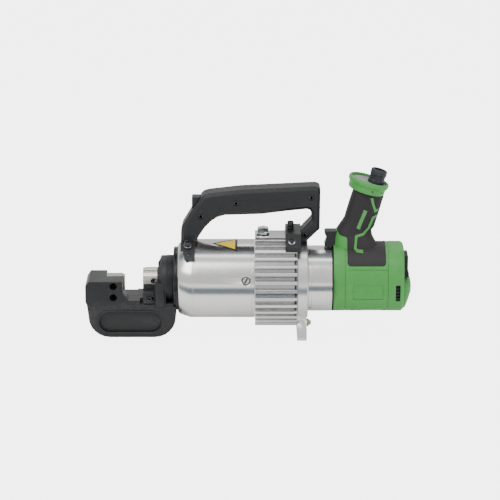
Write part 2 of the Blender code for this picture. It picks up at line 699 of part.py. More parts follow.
def make_gears():
    shaft = rod("eccentric_shaft", block_start + 2 * mm, carrier_start + 2 * mm, SHAFT_RADIUS - 1 * mm, "tool_steel")
    cam_centre = AXIS + Vector((0, 0, CAM_OFFSET))
    join(shaft, rod("cam", cam_start, cam_start + 10 * mm, CAM_RADIUS, None, 24, cam_centre))
    join(shaft, rod("journal", cam_start + 9 * mm, carrier_start + 2 * mm, SHAFT_RADIUS, None, 20))
    join(shaft, rod("carrier", carrier_start, carrier_start + 4 * mm, orbit + 6 * mm, None, 30))
    sun_phase = math.pi / SUN_TEETH
    for count in range(PLANETS):
        angle = math.tau * count / PLANETS
        where = AXIS + Vector((0, orbit * math.cos(angle), orbit * math.sin(angle)))
        join(shaft, rod("pin", carrier_start + 2 * mm, gear_start + GEAR_WIDTH, PIN_RADIUS, None, 12, where))
        outline = lifted(gear_outline(PLANET_TEETH, angle), where.y, where.z)
        planet = prism(f"planet_gear_{count + 1}", outline, gear_start, gear_start + GEAR_WIDTH - GAP, "tool_steel", "X")
        hole = rod("hole", gear_start - THROUGH, gear_start + GEAR_WIDTH + THROUGH, PIN_RADIUS + GAP, None, 12, where)
        centre_on(cut(planet, hole), where)
    centre_on(smooth(shaft), AXIS)
    outer = rod("ring_gear", gear_start, gear_start + GEAR_WIDTH, ADAPTOR_RADIUS - ADAPTOR_WALL - GAP, "tool_steel", 40)
    teeth = lifted(gear_outline(RING_TEETH, math.pi / RING_TEETH, True))
    smooth(cut(outer, prism("teeth", teeth, gear_start - THROUGH, gear_start + GEAR_WIDTH + THROUGH, None, "X")))
    return lifted(gear_outline(SUN_TEETH, sun_phase))


def make_flange():
    bore = BEARING_RADIUS + GAP
    plate = [
        (flange_start, bore),
        (flange_start, FLANGE_RADIUS - 1 * mm),
        (flange_start + 1 * mm, FLANGE_RADIUS),
        (flange_end - 1 * mm, FLANGE_RADIUS),
        (flange_end, FLANGE_RADIUS - 1 * mm),
        (flange_end, bore),
    ]
    flange = turned("flange_plate", plate, "machined_aluminium", 32)
    foot = [
        (-FOOT_HALF, 0),
        (FOOT_HALF, 0),
        (FOOT_HALF, 8 * mm),
        (32 * mm, 26 * mm),
        (38 * mm, AXIS_Z - 34 * mm),
        (-38 * mm, AXIS_Z - 34 * mm),
        (-32 * mm, 26 * mm),
        (-FOOT_HALF, 8 * mm),
    ]
    join(flange, prism("foot", foot, flange_start, flange_start + FOOT_WIDTH, None, "X"))
    smooth(flange)
    smooth(ring("shaft_bearing", flange_start + 2 * mm, flange_end - 2 * mm, SHAFT_RADIUS + GAP, BEARING_RADIUS, "tool_steel", 16))
    rear = flange_start + FOOT_WIDTH + GAP
    drain_at = Vector((0, -20 * mm, 19.5 * mm))
    profile = [(rear, 0), (rear, 5.6 * mm), (rear + 3 * mm, 5.6 * mm), (rear + 3 * mm, 3.4 * mm)]
    turned("drain_fitting", profile + [(rear + 6 * mm, 3.4 * mm), (rear + 6 * mm, 0)], "brass", 6, drain_at)


# ---- motor ----


def make_adaptor():
    inner = ADAPTOR_RADIUS - ADAPTOR_WALL
    seat = 10.8 * mm
    profile = [
        (adaptor_start, inner),
        (adaptor_start, ADAPTOR_RADIUS),
        (adaptor_end, ADAPTOR_RADIUS),
        (adaptor_end, inner),
        (web_start + 6 * mm, inner),
        (web_start + 6 * mm, seat),
        (web_start, seat),
        (web_start, inner),
    ]
    smooth(turned("motor_adaptor", profile, "machined_aluminium", 32))
    smooth(ring("bearing_front", web_start, web_start + 6 * mm, MOTOR_SHAFT + GAP, seat - GAP, "tool_steel", 16))
    gasket_start = adaptor_end + GAP
    smooth(ring("adaptor_gasket", gasket_start, gasket_start + GASKET_WIDTH, inner, ADAPTOR_RADIUS, "black_rubber", 32))


def make_motor_inside(sun_outline):
    core_start = motor_start + 19 * mm
    core_end = core_start + STATOR_LENGTH
    rear = shell_end - END_WALL - 2 * mm
    profile = [
        (gear_start - 0.7 * mm, 0),
        (gear_start - 0.7 * mm, MOTOR_SHAFT),
        (core_start, MOTOR_SHAFT),
        (core_start, ARMATURE_RADIUS),
        (core_end, ARMATURE_RADIUS),
        (core_end + 3 * mm, 14 * mm),
        (core_end + 15 * mm, 14 * mm),
        (core_end + 15 * mm, MOTOR_SHAFT),
        (rear, MOTOR_SHAFT),
        (rear, 0),
    ]
    armature = turned("armature", profile, "copper_windings", 16)
    pinion = prism("pinion", sun_outline, gear_start, gear_start + GEAR_WIDTH - GAP, None, "X")
    centre_on(smooth(join(armature, pinion)), AXIS)
    blades = 10
    outline = []
    for blade in range(blades):
        for share, radius in ((0, 33 * mm), (0.22, 33 * mm), (0.3, 15 * mm), (0.9, 15 * mm)):
            angle = math.tau * (blade + share) / blades
            outline.append((radius * math.cos(angle), radius * math.sin(angle)))
    fan = prism("motor_fan", lifted(outline), motor_start + 4 * mm, motor_start + 12 * mm, "black_plastic", "X")
    centre_on(cut(fan, rod("bore", motor_start, motor_end, MOTOR_SHAFT + GAP, None, 16)), AXIS)
    stator_inner = ARMATURE_RADIUS + 0.7 * mm
    smooth(ring("stator", core_start, core_end, stator_inner, stator_inner + STATOR_WALL, "tool_steel", 24))
    bearing = ring("bearing_rear", rear - 8 * mm, rear - 1 * mm, MOTOR_SHAFT + GAP, BEARING_OUTER, "tool_steel", 16)
    smooth(bearing)
    return rear


def barrel(name, shrink=0, start=0, end=0):
    """The motor housing's outer form, or the same form with each wall moved in."""
    first, last = motor_start + start, shell_end - end
    full = (MOTOR_HALF_HEIGHT - shrink, MOTOR_HALF_WIDTH - shrink)
    stations = [(first, 1, 1), (last - 3.5 * mm, 1, 1), (last, 0.93, 0.92)]
    sections = []
    for x, tall, wide in stations:
        centre = Vector((x, 0, AXIS_Z + MOTOR_RISE))
        sections.append((centre, Vector((0, full[1] * wide, 0)), Vector((0, 0, full[0] * tall))))
    return loft(name, sections, None, 24, 2.7)


def tail(name):
    """The blunt bulge low on the housing's rear face, round the motor's rear bearing."""
    stations = [(shell_end - 2 * mm, 59.5, 21, 31), (shell_end + 2 * mm, 60.5, 22, 31)]
    stations += [(motor_end - 3.5 * mm, 66.3, 15.3, 26), (motor_end, 70, 8, 19)]
    sections = []
    for x, middle, tall, wide in stations:
        sections.append((Vector((x, 0, middle * mm)), Vector((0, wide * mm, 0)), Vector((0, 0, tall * mm))))
    return loft(name, sections, None, 24, 2.7)


def grip(name, shrink=0, extra=0):
    """The upright grip from inside the housing to its top, leaning back."""
    low = [(-35, 6, 11.2, 7.5), (-7, 3, 8.7, 4.5), (6, 0, 4.8, 1.5), (15, 0.2, 3.1, 0.3)]  # height, shift, swell
    sections = []
    for height, shift, depth, width in low:
        first = Vector((GRIP_HALF_DEPTH + depth * mm - shrink, 0, 0))
        second = Vector((0, GRIP_HALF_WIDTH + width * mm - shrink, 0))
        sections.append((grip_foot + Vector((shift * mm, 0, height * mm)), first, second))
    for height, swell in ((27 * mm, 0), (50 * mm, 0.3 * mm), (GRIP_LENGTH + extra, 0)):
        centre = grip_foot + GRIP_UP * height
        depth, width = GRIP_HALF_DEPTH + swell - shrink, GRIP_HALF_WIDTH + swell - shrink
        sections.append((centre, GRIP_BACK * depth, Vector((0, width, 0))))
    return loft(name, sections, None, 20, 2.6)


def overmould_zone(name, grow=0):
    """Side view of what the soft overmould covers: the grip and a saddle over the housing."""
    left, right = grip_foot.x - 9 * mm - grow, grip_foot.x + 44 * mm + grow
    low, top = OVERMOULD_LOW - grow, 260 * mm
    rim = motor_start - grow
    outline = [
        (left, low),
        (right, low),
        (right, 138 * mm),
        (motor_end + 40 * mm, 138 * mm),
        (motor_end + 40 * mm, top),
        (motor_start - 40 * mm, top),
        (motor_start - 40 * mm, 157 * mm - grow),
        (rim + 2.6 * mm, 157 * mm - grow),
        (rim + 8.7 * mm, 145.5 * mm - grow),
        (rim + 13 * mm, 144.5 * mm - grow),
        (left, 140.5 * mm - grow),
    ]
    return prism(name, outline, -90 * mm, 90 * mm)


def halves(whole, left_name, right_name, finish):
    """Splits a body on the plane Y = 0 into a left half (-Y) and a right half."""
    half_gap = GAP / 2
    limits = ((left_name, -200 * mm, -half_gap), (right_name, half_gap, 200 * mm))
    for name, low, high in limits:
        half = combine(copy_of(whole, name), block("side", (-1, low, -1), (1, high, 1)), "INTERSECT")
        half.name = name
        half.data.materials.clear()
        half.data.materials.append(finish_of(finish))
        smooth(half)
    bpy.data.objects.remove(whole, do_unlink=True)


def make_housing(bearing_end):
    full = join(barrel("housing"), grip("grip"), tail("tail"))
    cover = combine(copy_of(full), overmould_zone("zone"), "INTERSECT")
    cut(cover, barrel("core", SKIN - GAP, -5 * mm), grip("core", SKIN - GAP, 8 * mm))
    shell = cut(full, overmould_zone("zone", GAP))
    join(shell, barrel("core", SKIN, 1 * mm, 1 * mm), grip("core", SKIN, -0.4 * mm))
    inner = SKIN + SHELL_WALL
    cavity = join(barrel("cavity", inner, -5 * mm, END_WALL), grip("cavity", inner, 8 * mm))
    cut(shell, cavity)
    boss = ring("boss", bearing_end - 10 * mm, shell_end - 2 * mm, BEARING_OUTER + GAP, 14.5 * mm, None, 20)
    join(shell, boss)
    slot_low, slot_high = TRIGGER_BOTTOM - 2 * GAP, TRIGGER_BOTTOM + TRIGGER_HEIGHT + GAP
    for piece in (shell, cover):
        half = TRIGGER_HALF + GAP
        cut(piece, block("slot", (motor_start - 30 * mm, -half, slot_low), (motor_start + 21 * mm, half, slot_high)))
    vent_left = shell_end - 11.8 * mm
    for side in (-1, 1):
        low, high = sorted((side * 25 * mm, side * 60 * mm))
        cut(shell, block("vent", (vent_left, low, 56 * mm), (vent_left + 6.5 * mm, high, 80 * mm)))
    bumper_low = Vector((shell_end - 2 * mm, -BUMPER_HALF, 84 * mm))
    bumper_high = Vector((shell_end + 8 * mm, BUMPER_HALF, bumper_low.z + BUMPER_HEIGHT))
    room = Vector((GAP, GAP, GAP))
    cut(shell, block("bumper_room", bumper_low - room, bumper_high + Vector((10 * mm, GAP, GAP))))
    side_view = [
        (bumper_low.x, bumper_low.z),
        (bumper_high.x, bumper_low.z),
        (bumper_high.x, bumper_low.z + 5 * mm),
        (bumper_high.x - 1.6 * mm, bumper_low.z + 12 * mm),
        (bumper_high.x - 1.6 * mm, bumper_high.z),
        (bumper_low.x, bumper_high.z),
    ]
    prism("rear_bumper", side_view, bumper_low.y, bumper_high.y, "black_rubber")
    halves(shell, "motor_shell_left", "motor_shell_right", "green_plastic")
    halves(cover, "overmould_left", "overmould_right", "black_rubber")


def make_trigger():
    low, high = TRIGGER_BOTTOM, TRIGGER_BOTTOM + TRIGGER_HEIGHT
    front = motor_start - TRIGGER_REACH
    rear = front + 21 * mm
    outline = [
        (rear, low),
        (rear, high),
        (front + 1.5 * mm, high),
        (front, high - 2.5 * mm),
        (front + 2.6 * mm, high - 8 * mm),
        (front + 2.9 * mm, high - 13 * mm),
        (front, low + 3.5 * mm),
        (front + 1.5 * mm, low),
    ]
    trigger = prism("trigger", outline, -TRIGGER_HALF, TRIGGER_HALF, "black_plastic")
    centre_on(trigger, Vector((front, 0, (low + high) / 2)))
    switch_low = (rear + TRIGGER_TRAVEL + 4 * mm, -10 * mm, low - 2 * mm)
    block("trigger_switch", switch_low, (switch_low[0] + 20 * mm, 10 * mm, high + 1 * mm), "black_plastic")


def make_grip_top():
    base = GRIP_LENGTH + GAP
    top = base + RING_HEIGHT
    ledge = base + 11.5 * mm
    seat = 24.2 * mm
    centre = grip_foot + GRIP_BACK * RING_SHIFT
    profile = [
        (base, 22 * mm),
        (base, RING_RADIUS - 3.4 * mm),
        (base + 8 * mm, RING_RADIUS - 2.4 * mm),
        (base + 11.5 * mm, RING_RADIUS),
        (top - 1 * mm, RING_RADIUS),
        (top, RING_RADIUS - 1 * mm),
        (top, seat + 1 * mm),
        (top - 2 * mm, seat),
        (ledge, seat),
        (ledge, 22 * mm),
    ]
    smooth(turned("grip_ring", profile, "green_plastic", 28, centre, GRIP_UP))
    inlet_at = grip_foot + GRIP_BACK * INLET_SHIFT
    plate = rod("ring_plate", ledge + GAP, ledge + 2.3 * mm, seat - GAP, "grey_plastic", 24, centre, GRIP_UP)
    hole = rod("hole", base, top + THROUGH, INLET_RADIUS + GAP, None, 20, inlet_at, GRIP_UP)
    smooth(cut(plate, hole))
    floor = base + 5 * mm
    profile = [
        (base + 1.5 * mm, 0),
        (base + 1.5 * mm, INLET_RADIUS),
        (INLET_TOP - 0.8 * mm, INLET_RADIUS),
        (INLET_TOP, INLET_RADIUS - 0.8 * mm),
        (INLET_TOP, INLET_RADIUS - INLET_WALL),
        (floor, INLET_RADIUS - INLET_WALL),
        (floor, 0),
    ]
    smooth(turned("power_inlet", profile, "black_plastic", 24, inlet_at, GRIP_UP))


# ---- carry handle ----
def handle_outline():
    """Side view: front leg, arched bar and rear strut as one open D, anticlockwise from the front foot."""
    leg = [
        (40, 205), (32.8, 203), (29.5, 200), (15.3, 179.8), (2.9, 159.4), (0.3, 149.7),
        (0, 128), (20, 128), (24.5, 142), (33, 155), (42, 164.5), (51, 170.5), (61.2, 173.6),
    ]  # fmt: skip
    rear = [
        (-49.2, 175.2), (-13.7, 179.7), (13, 182.4), (17.6, 181.2), (19.8, 177), (19.8, 167), (-2.5, 142.5),
        (5, 135.2), (13, 135.8), (31.5, 154), (32.2, 209), (30.5, 213.2), (25, 215), (-34.7, 212.5), (-78.1, 210),
    ]  # fmt: skip
    points = [(CLAMP_START + x * mm, z * mm) for x, z in leg]
    return points + [(case_end + x * mm, z * mm) for x, z in rear]


SCREWS = (  # X, Z
    (CLAMP_START + 28.3 * mm, 172.5 * mm),
    (CLAMP_START + 77.3 * mm, 191.6 * mm),
    (case_end + 19.6 * mm, 199.6 * mm),
    (case_end + 10.5 * mm, 146 * mm),
)


def make_handle():
    whole = prism("handle", handle_outline(), -HANDLE_HALF, HANDLE_HALF, None, "Y", HANDLE_BEVEL)
    clamp_outer = CYLINDER_RADIUS + GAP + CLAMP_WALL
    cut(whole, rod("clamp_room", CLAMP_START - 50 * mm, CLAMP_START + 50 * mm, clamp_outer + GAP, None, 72))
    bracket_end = bracket_start + BRACKET_LENGTH
    cut(whole, block("bracket_room", (bracket_start - 12 * mm, -1, 120 * mm), (bracket_end + GAP, 1, BRACKET_TOP + GAP)))
    tongue_half = TONGUE_HALF + GAP
    cut(whole, block("tongue_room", (case_end - 8 * mm, -tongue_half, 120 * mm), (case_end + 16.3 * mm, tongue_half, BRACKET_TOP + GAP)))
    for count, (x, z) in enumerate(SCREWS, 1):
        where = Vector((x, 0, z))
        cut(
            whole,
            rod("head_room", -HANDLE_HALF - THROUGH, -15 * mm, 4.3 * mm, None, 12, where, FRONT_Y),
            rod("screw_hole", -16 * mm, 12.5 * mm, SCREW_HOLE, None, 12, where, FRONT_Y),
        )
        bolt(f"handle_screw_{count}", 15.3 * mm, -12 * mm, 4 * mm, 2.2 * mm, 2 * mm, where, -FRONT_Y)
    halves(whole, "handle_left", "handle_right", "black_plastic")


def make_clamp():
    inner = CYLINDER_RADIUS + GAP
    outer = inner + CLAMP_WALL
    turn = math.degrees(CLAMP_ANGLE)
    band = arc((0, AXIS_Z), outer, 90 - turn, 90 + turn, 18) + arc((0, AXIS_Z), inner, 90 + turn, 90 - turn, 18)
    clamp = prism("front_clamp", band, CLAMP_START, CLAMP_START + CLAMP_LENGTH, "black_plastic", "X")
    corner = (CLAMP_START + CLAMP_TAB, outer + THROUGH, AXIS_Z + CLAMP_CORNER)
    cut(clamp, block("corner", (CLAMP_START - THROUGH, -outer - THROUGH, AXIS_Z), corner))
    for side, name in ((-1, "clamp_bolt_left"), (1, "clamp_bolt_right")):
        out = clamp_out(side)
        join(clamp, rod("pad", inner + 2 * mm, outer + 2.5 * mm, 6 * mm, None, 16, clamp_middle(), out))
        cut(clamp, rod("hole", inner - THROUGH, outer + 5 * mm, BOLT_HOLE, None, 12, clamp_middle(), out))
        seat = outer + 2.5 * mm + GAP
        bolt(name, seat, 47 * mm, 4.4 * mm, 7.5 * mm, 2.5 * mm, clamp_middle(), out)
    smooth(clamp)


def make_bracket():
    inner = CASE_RADIUS + 2.5 * GAP
    flat = AXIS_Z + LAND_HEIGHT + GAP
    end = math.degrees(math.acos(BRACKET_HALF / inner))
    land = math.degrees(math.acos((LAND_HALF + GAP) / inner))
    right = arc((0, AXIS_Z), inner, land, end, 5)
    left = arc((0, AXIS_Z), inner, 180 - end, 180 - land, 5)
    step = LAND_HALF + GAP
    outline = [(-step, flat), (step, flat)] + right
    outline += [(BRACKET_HALF + 3 * mm, 136 * mm), (28 * mm, BRACKET_TOP), (-28 * mm, BRACKET_TOP)]
    outline += [(-BRACKET_HALF - 3 * mm, 136 * mm)] + left
    bracket_end = bracket_start + BRACKET_LENGTH
    bracket = prism("rear_bracket", outline, bracket_start, bracket_end, "black_steel", "X")
    tongue = [(bracket_end - 2 * mm, 139 * mm), (bracket_end + 3 * mm, 139 * mm), (case_end + 16 * mm, 148 * mm)]
    tongue += [(case_end + 15 * mm, BRACKET_TOP - GAP), (bracket_end - 2 * mm, BRACKET_TOP - GAP)]
    join(bracket, prism("tongue", tongue, -TONGUE_HALF, TONGUE_HALF))
    x, z = SCREWS[3]
    cut(bracket, rod("hole", -TONGUE_HALF - THROUGH, TONGUE_HALF + THROUGH, SCREW_HOLE, None, 12, Vector((x, 0, z)), FRONT_Y))
    bolt_at = Vector((bracket_start + 7.3 * mm, 0, AXIS_Z))
    up = Vector((0, 0, 1))
    cut(bracket, rod("bolt_hole", 50 * mm, 90 * mm, BOLT_HOLE, None, 12, bolt_at, up))
    bolt("bracket_bolt", BRACKET_TOP - AXIS_Z + GAP, CASE_BORE + 4 * mm, 4.5 * mm, 11 * mm, 2.5 * mm, bolt_at, up)


def make_lamp():
    """A small lamp box on the sloping front of the handle, its lens facing the cutting head."""
    half = 9 * mm
    front, high = CLAMP_START + 15.6 * mm, 198 * mm
    outline = [
        (front, 182 * mm),
        (front + 0.45 * mm, 181.6 * mm),
        (front + 11.6 * mm, high - 0.6 * mm),
        (front + 11 * mm, high),
        (front + 1 * mm, high),
        (front, high - 1 * mm),
    ]
    lamp = prism("lamp_body", outline, -half, half, "black_plastic")
    middle = Vector((0, 0, high - 7 * mm))
    cut(lamp, rod("lens_room", front - THROUGH, front + 2 * mm, LENS_RADIUS + GAP, None, 20, middle))
    rod("lamp_lens", front + 0.2 * mm, front + 2 * mm - GAP, LENS_RADIUS, "clear_lens", 20, middle)


make_head()
make_head_fittings()
make_ram()
make_spring()
make_cylinder()
make_pump()
sun = make_gears()
make_flange()
make_adaptor()
make_housing(make_motor_inside(sun))
make_trigger()
make_grip_top()
make_handle()
make_clamp()
make_bracket()
make_lamp()
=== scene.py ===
import json
import math
import bmesh
import bpy
from mathutils import Matrix, Vector


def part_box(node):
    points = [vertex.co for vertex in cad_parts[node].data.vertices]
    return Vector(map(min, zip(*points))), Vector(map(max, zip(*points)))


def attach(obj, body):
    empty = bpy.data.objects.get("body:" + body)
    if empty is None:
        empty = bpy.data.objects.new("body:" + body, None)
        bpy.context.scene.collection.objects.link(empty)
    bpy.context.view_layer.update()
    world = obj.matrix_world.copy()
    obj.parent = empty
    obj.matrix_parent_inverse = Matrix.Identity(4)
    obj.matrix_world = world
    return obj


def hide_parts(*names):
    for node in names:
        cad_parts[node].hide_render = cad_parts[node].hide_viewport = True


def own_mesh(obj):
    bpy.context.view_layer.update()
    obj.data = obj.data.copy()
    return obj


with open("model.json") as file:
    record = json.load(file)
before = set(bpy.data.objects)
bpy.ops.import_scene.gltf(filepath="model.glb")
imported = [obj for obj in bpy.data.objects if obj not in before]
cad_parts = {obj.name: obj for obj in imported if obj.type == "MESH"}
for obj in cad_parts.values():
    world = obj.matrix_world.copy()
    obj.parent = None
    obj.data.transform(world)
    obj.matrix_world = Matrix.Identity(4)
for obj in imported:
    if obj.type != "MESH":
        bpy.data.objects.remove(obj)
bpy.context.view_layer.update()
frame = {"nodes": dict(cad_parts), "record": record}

mm = 0.001
axisZ = 78.5 * mm
axis = Vector((0, 0, axisZ))
alongX = Vector((1, 0, 0))
upZ = Vector((0, 0, 1))
toBack = Vector((0, 1, 0))
handed = ((-1, "Left"), (1, "Right"))
print("frame loaded")


# node groups, shared by several finishes
def newGroup(name, inputs, outputs):
    group = bpy.data.node_groups.new(name, "ShaderNodeTree")
    for label, kind, value in inputs:
        socket = group.interface.new_socket(label, in_out="INPUT", socket_type=kind)
        if value is not None:
            socket.default_value = value
    for label, kind in outputs:
        group.interface.new_socket(label, in_out="OUTPUT", socket_type=kind)
    return group, group.nodes.new("NodeGroupInput"), group.nodes.new("NodeGroupOutput")


def addMath(group, operation, first, second=None, clamp=False):
    node = addNode(group, "Math")
    node.operation = operation
    node.use_clamp = clamp
    for place, value in enumerate((first, second)):
        if value is None:
            continue
        if isinstance(value, (int, float)):
            node.inputs[place].default_value = value
        else:
            group.links.new(value, node.inputs[place])
    return node.outputs[0]


def addNode(tree, kind, **values):
    # a node with some of its inputs set; an underscore stands for a space
    node = tree.nodes.new("ShaderNode" + kind)
    for label, value in values.items():
        node.inputs[label.replace("_", " ")].default_value = value
    return node


def addNoise(group, vector, scale, detail=3.0, roughness=0.55):
    node = addNode(group, "TexNoise", Detail=detail, Roughness=roughness)
    if isinstance(scale, (int, float)):
        node.inputs["Scale"].default_value = scale
    else:
        group.links.new(scale, node.inputs["Scale"])
    group.links.new(vector, node.inputs["Vector"])
    return node.outputs["Fac"]


def makeGrainGroup():
    # fine pebble for height and roughness, and slow blotches for colour
    group, given, result = newGroup(
        "surfaceGrain",
        [("Vector", "NodeSocketVector", None), ("Scale", "NodeSocketFloat", 900.0)],
        [("Fine", "NodeSocketFloat"), ("Blotch", "NodeSocketFloat")],
    )
    fine = addNoise(group, given.outputs["Vector"], given.outputs["Scale"], 4.0, 0.6)
    slowScale = addMath(group, "MULTIPLY", given.outputs["Scale"], 0.03)
    slow = addNoise(group, given.outputs["Vector"], slowScale, 3.0)
    group.links.new(fine, result.inputs["Fine"])
    group.links.new(slow, result.inputs["Blotch"])
    return group


def newMask(name):
    inputs = [("Vector", "NodeSocketVector", None), ("Amount", "NodeSocketFloat", 0.5)]
    return newGroup(name, inputs, [("Mask", "NodeSocketFloat")])


def makeWearAndGlintGroup():
    # rubbed outer edges, broken up by noise; strong on the black oxide screws, where it is also painted highlight on
    # head and socket edges
    group, given, result = newMask("edgeWearAndGlint")
    point = addNode(group, "NewGeometry").outputs["Pointiness"]
    ramp = addMath(group, "MULTIPLY", addMath(group, "SUBTRACT", point, 0.53), 9.0, True)
    broken = addNoise(group, given.outputs["Vector"], 260.0, 5.0, 0.65)
    patchy = addMath(group, "MULTIPLY", addMath(group, "SUBTRACT", broken, 0.38), 3.2, True)
    mask = addMath(group, "MULTIPLY", ramp, patchy)
    mask = addMath(group, "MULTIPLY", mask, given.outputs["Amount"], True)
    group.links.new(mask, result.inputs["Mask"])
    return group


def makeDustGroup():
    # a thin film on what faces up
    group, given, result = newMask("dustFilm")
    split = addNode(group, "SeparateXYZ")
    group.links.new(addNode(group, "NewGeometry").outputs["Normal"], split.inputs[0])
    facing = addMath(group, "MULTIPLY", split.outputs["Z"], 1.0, True)
    cloud = addNoise(group, given.outputs["Vector"], 35.0, 6.0, 0.7)
    mask = addMath(group, "MULTIPLY", addMath(group, "MULTIPLY", facing, cloud), given.outputs["Amount"], True)
    group.links.new(mask, result.inputs["Mask"])
    return group


grainGroup, wearAndGlintGroup, dustGroup = makeGrainGroup(), makeWearAndGlintGroup(), makeDustGroup()

finishes = {
    "forgedSteel": dict(color=(0.021, 0.0215, 0.023), roughness=0.4, metallic=0.2, grain=1100, depth=0.05,
        wearAndGlint=0.2, wornAndGlintTint=(0.22, 0.22, 0.22), blotch=0.16, specular=0.45),
    "groundSteel": dict(color=(0.66, 0.63, 0.56), roughness=0.3, metallic=1.0, grain=900, depth=0.03,
        stretch=(0.06, 1, 1), blotch=0.2),
    "turnedAluminium": dict(color=(0.87, 0.86, 0.835), roughness=0.2, metallic=1.0, grain=2600, depth=0.022,
        stretch=(1, 0.012, 0.012), blotch=0.05),
    "castAluminium": dict(color=(0.84, 0.835, 0.82), roughness=0.26, metallic=1.0, grain=1300, depth=0.008,
        stretch=(0.05, 1, 1), blotch=0.04),
    "chromePlate": dict(color=(0.86, 0.86, 0.86), roughness=0.1, metallic=1.0, grain=500, depth=0.006, blotch=0.05),
    "dullBrass": dict(color=(0.42, 0.38, 0.2), roughness=0.36, metallic=1.0, grain=1500, depth=0.03, blotch=0.3),
    "greenNylon": dict(color=(0.056, 0.3, 0.055), roughness=0.42, grain=2300, depth=0.035,
        wearAndGlint=0.16, wornAndGlintTint=(0.3, 0.6, 0.26), blotch=0.1, dust=0.02),
    "softRubber": dict(color=(0.019, 0.0165, 0.0175), roughness=0.6, grain=1700, depth=0.09,
        wearAndGlint=0.1, wornAndGlintTint=(0.12, 0.11, 0.11), blotch=0.14, dust=0.04, specular=0.4),
    "blackNylon": dict(color=(0.0125, 0.0135, 0.0155), roughness=0.42, grain=1500, depth=0.06,
        wearAndGlint=0.22, wornAndGlintTint=(0.11, 0.11, 0.12), blotch=0.12, dust=0.03, specular=0.42),
    # black oxide screws: their strong light edge colour is partly rubbing and partly painted highlight on head and
    # socket edges
    "blackOxide": dict(color=(0.045, 0.045, 0.047), roughness=0.26, metallic=0.85, grain=1200, depth=0.02,
        wearAndGlint=0.5, wornAndGlintTint=(0.4, 0.4, 0.4), blotch=0.2),
    "inletNylon": dict(color=(0.018, 0.02, 0.026), roughness=0.38, grain=1500, depth=0.03,
        wearAndGlint=0.2, wornAndGlintTint=(0.2, 0.2, 0.22), blotch=0.12),
    "greyPlate": dict(color=(0.26, 0.255, 0.255), roughness=0.5, grain=1300, depth=0.04, blotch=0.15),
    "windings": dict(color=(0.5, 0.22, 0.1), roughness=0.4, metallic=0.8, grain=700, depth=0.05, blotch=0.2),
    "labelYellow": dict(color=(0.88, 0.6, 0.0), roughness=0.35, grain=900, depth=0.01, blotch=0.06),
    # plain black, for the label's print and the release screw's seal, and also for painted shade in slots, holes and
    # behind the vents
    "printSealAndShadeBlack": dict(color=(0.02, 0.02, 0.02), roughness=0.35, grain=900, depth=0.01, blotch=0.06),
    "lensGlass": dict(color=(0.03, 0.035, 0.04), roughness=0.07, grain=300, depth=0.004, blotch=0.05),
}
# the ribbed case paints shade into the floors of its grooves
finishes["ribbedAluminium"] = dict(finishes["castAluminium"], grooves=(61.3 * mm, 65.6 * mm))
# the groove colour is painted shade; the dust colour is a real film
dustAndShadeTints = {"dust": (0.55, 0.53, 0.5), "groove": (0.4, 0.4, 0.41)}


def tinted(tree, shade, tint, mask):
    # a second colour where the mask is bright
    layer = addNode(tree, "Mix")
    layer.data_type = "RGBA"
    layer.inputs["B"].default_value = tint + (1,)
    tree.links.new(mask, layer.inputs["Factor"])
    tree.links.new(shade, layer.inputs["A"])
    return layer.outputs["Result"]


def makeFinish(name, color, roughness, grain, depth, blotch, metallic=0.0, wearAndGlint=0.0, wornAndGlintTint=(0.5, 0.5, 0.5),
        dust=0.0, stretch=(1, 1, 1), specular=0.5, grooves=None):
    finish = bpy.data.materials.new(name)
    finish.use_nodes = True
    tree = finish.node_tree
    shader = tree.nodes["Principled BSDF"]
    shader.inputs["Metallic"].default_value = metallic
    shader.inputs["Specular IOR Level"].default_value = specular
    place = addNode(tree, "TexCoord").outputs["Object"]
    mapping = addNode(tree, "Mapping", Scale=stretch)
    tree.links.new(place, mapping.inputs["Vector"])
    grainNode = addNode(tree, "Group")
    grainNode.node_tree = grainGroup
    grainNode.inputs["Scale"].default_value = grain
    tree.links.new(mapping.outputs["Vector"], grainNode.inputs["Vector"])
    # colour, a little lighter and darker in blotches
    tone = addNode(tree, "Mix")
    tone.data_type = "RGBA"
    tone.inputs["A"].default_value = tuple(channel * (1 - blotch) for channel in color) + (1,)
    tone.inputs["B"].default_value = tuple(min(channel * (1 + blotch), 1) for channel in color) + (1,)
    tree.links.new(grainNode.outputs["Blotch"], tone.inputs["Factor"])
    shade = tone.outputs["Result"]
    for group, amount, tint in ((wearAndGlintGroup, wearAndGlint, wornAndGlintTint), (dustGroup, dust, dustAndShadeTints["dust"])):
        if not amount:
            continue
        maskNode = addNode(tree, "Group")
        maskNode.node_tree = group
        maskNode.inputs["Amount"].default_value = amount
        tree.links.new(place, maskNode.inputs["Vector"])
        shade = tinted(tree, shade, tint, maskNode.outputs["Mask"])
    if grooves:
        # painted shade: darker towards the floors of the grooves round the axis, for the shade between the fins
        split = addNode(tree, "SeparateXYZ")
        tree.links.new(place, split.inputs[0])
        height = addMath(tree, "ABSOLUTE", addMath(tree, "SUBTRACT", split.outputs["Z"], axisZ))
        upward = addMath(tree, "POWER", height, 2.0)
        sideways = addMath(tree, "POWER", addMath(tree, "ABSOLUTE", split.outputs["Y"]), 2.0)
        reach = addMath(tree, "SQRT", addMath(tree, "ADD", upward, sideways))
        grooveShadeRange = addNode(tree, "MapRange", From_Min=grooves[1], From_Max=grooves[0])
        tree.links.new(reach, grooveShadeRange.inputs["Value"])
        shade = tinted(tree, shade, dustAndShadeTints["groove"], grooveShadeRange.outputs["Result"])
    tree.links.new(shade, shader.inputs["Base Color"])
    spread = addNode(tree, "MapRange", To_Min=roughness * 0.82, To_Max=roughness * 1.2)
    tree.links.new(grainNode.outputs["Fine"], spread.inputs["Value"])
    tree.links.new(spread.outputs["Result"], shader.inputs["Roughness"])
    bump = addNode(tree, "Bump", Distance=0.0006, Strength=min(depth * 6, 1))
    tree.links.new(grainNode.outputs["Fine"], bump.inputs["Height"])
    tree.links.new(bump.outputs["Normal"], shader.inputs["Normal"])
    return finish


materials = {name: makeFinish(name, **values) for name, values in finishes.items()}
print("finishes made")

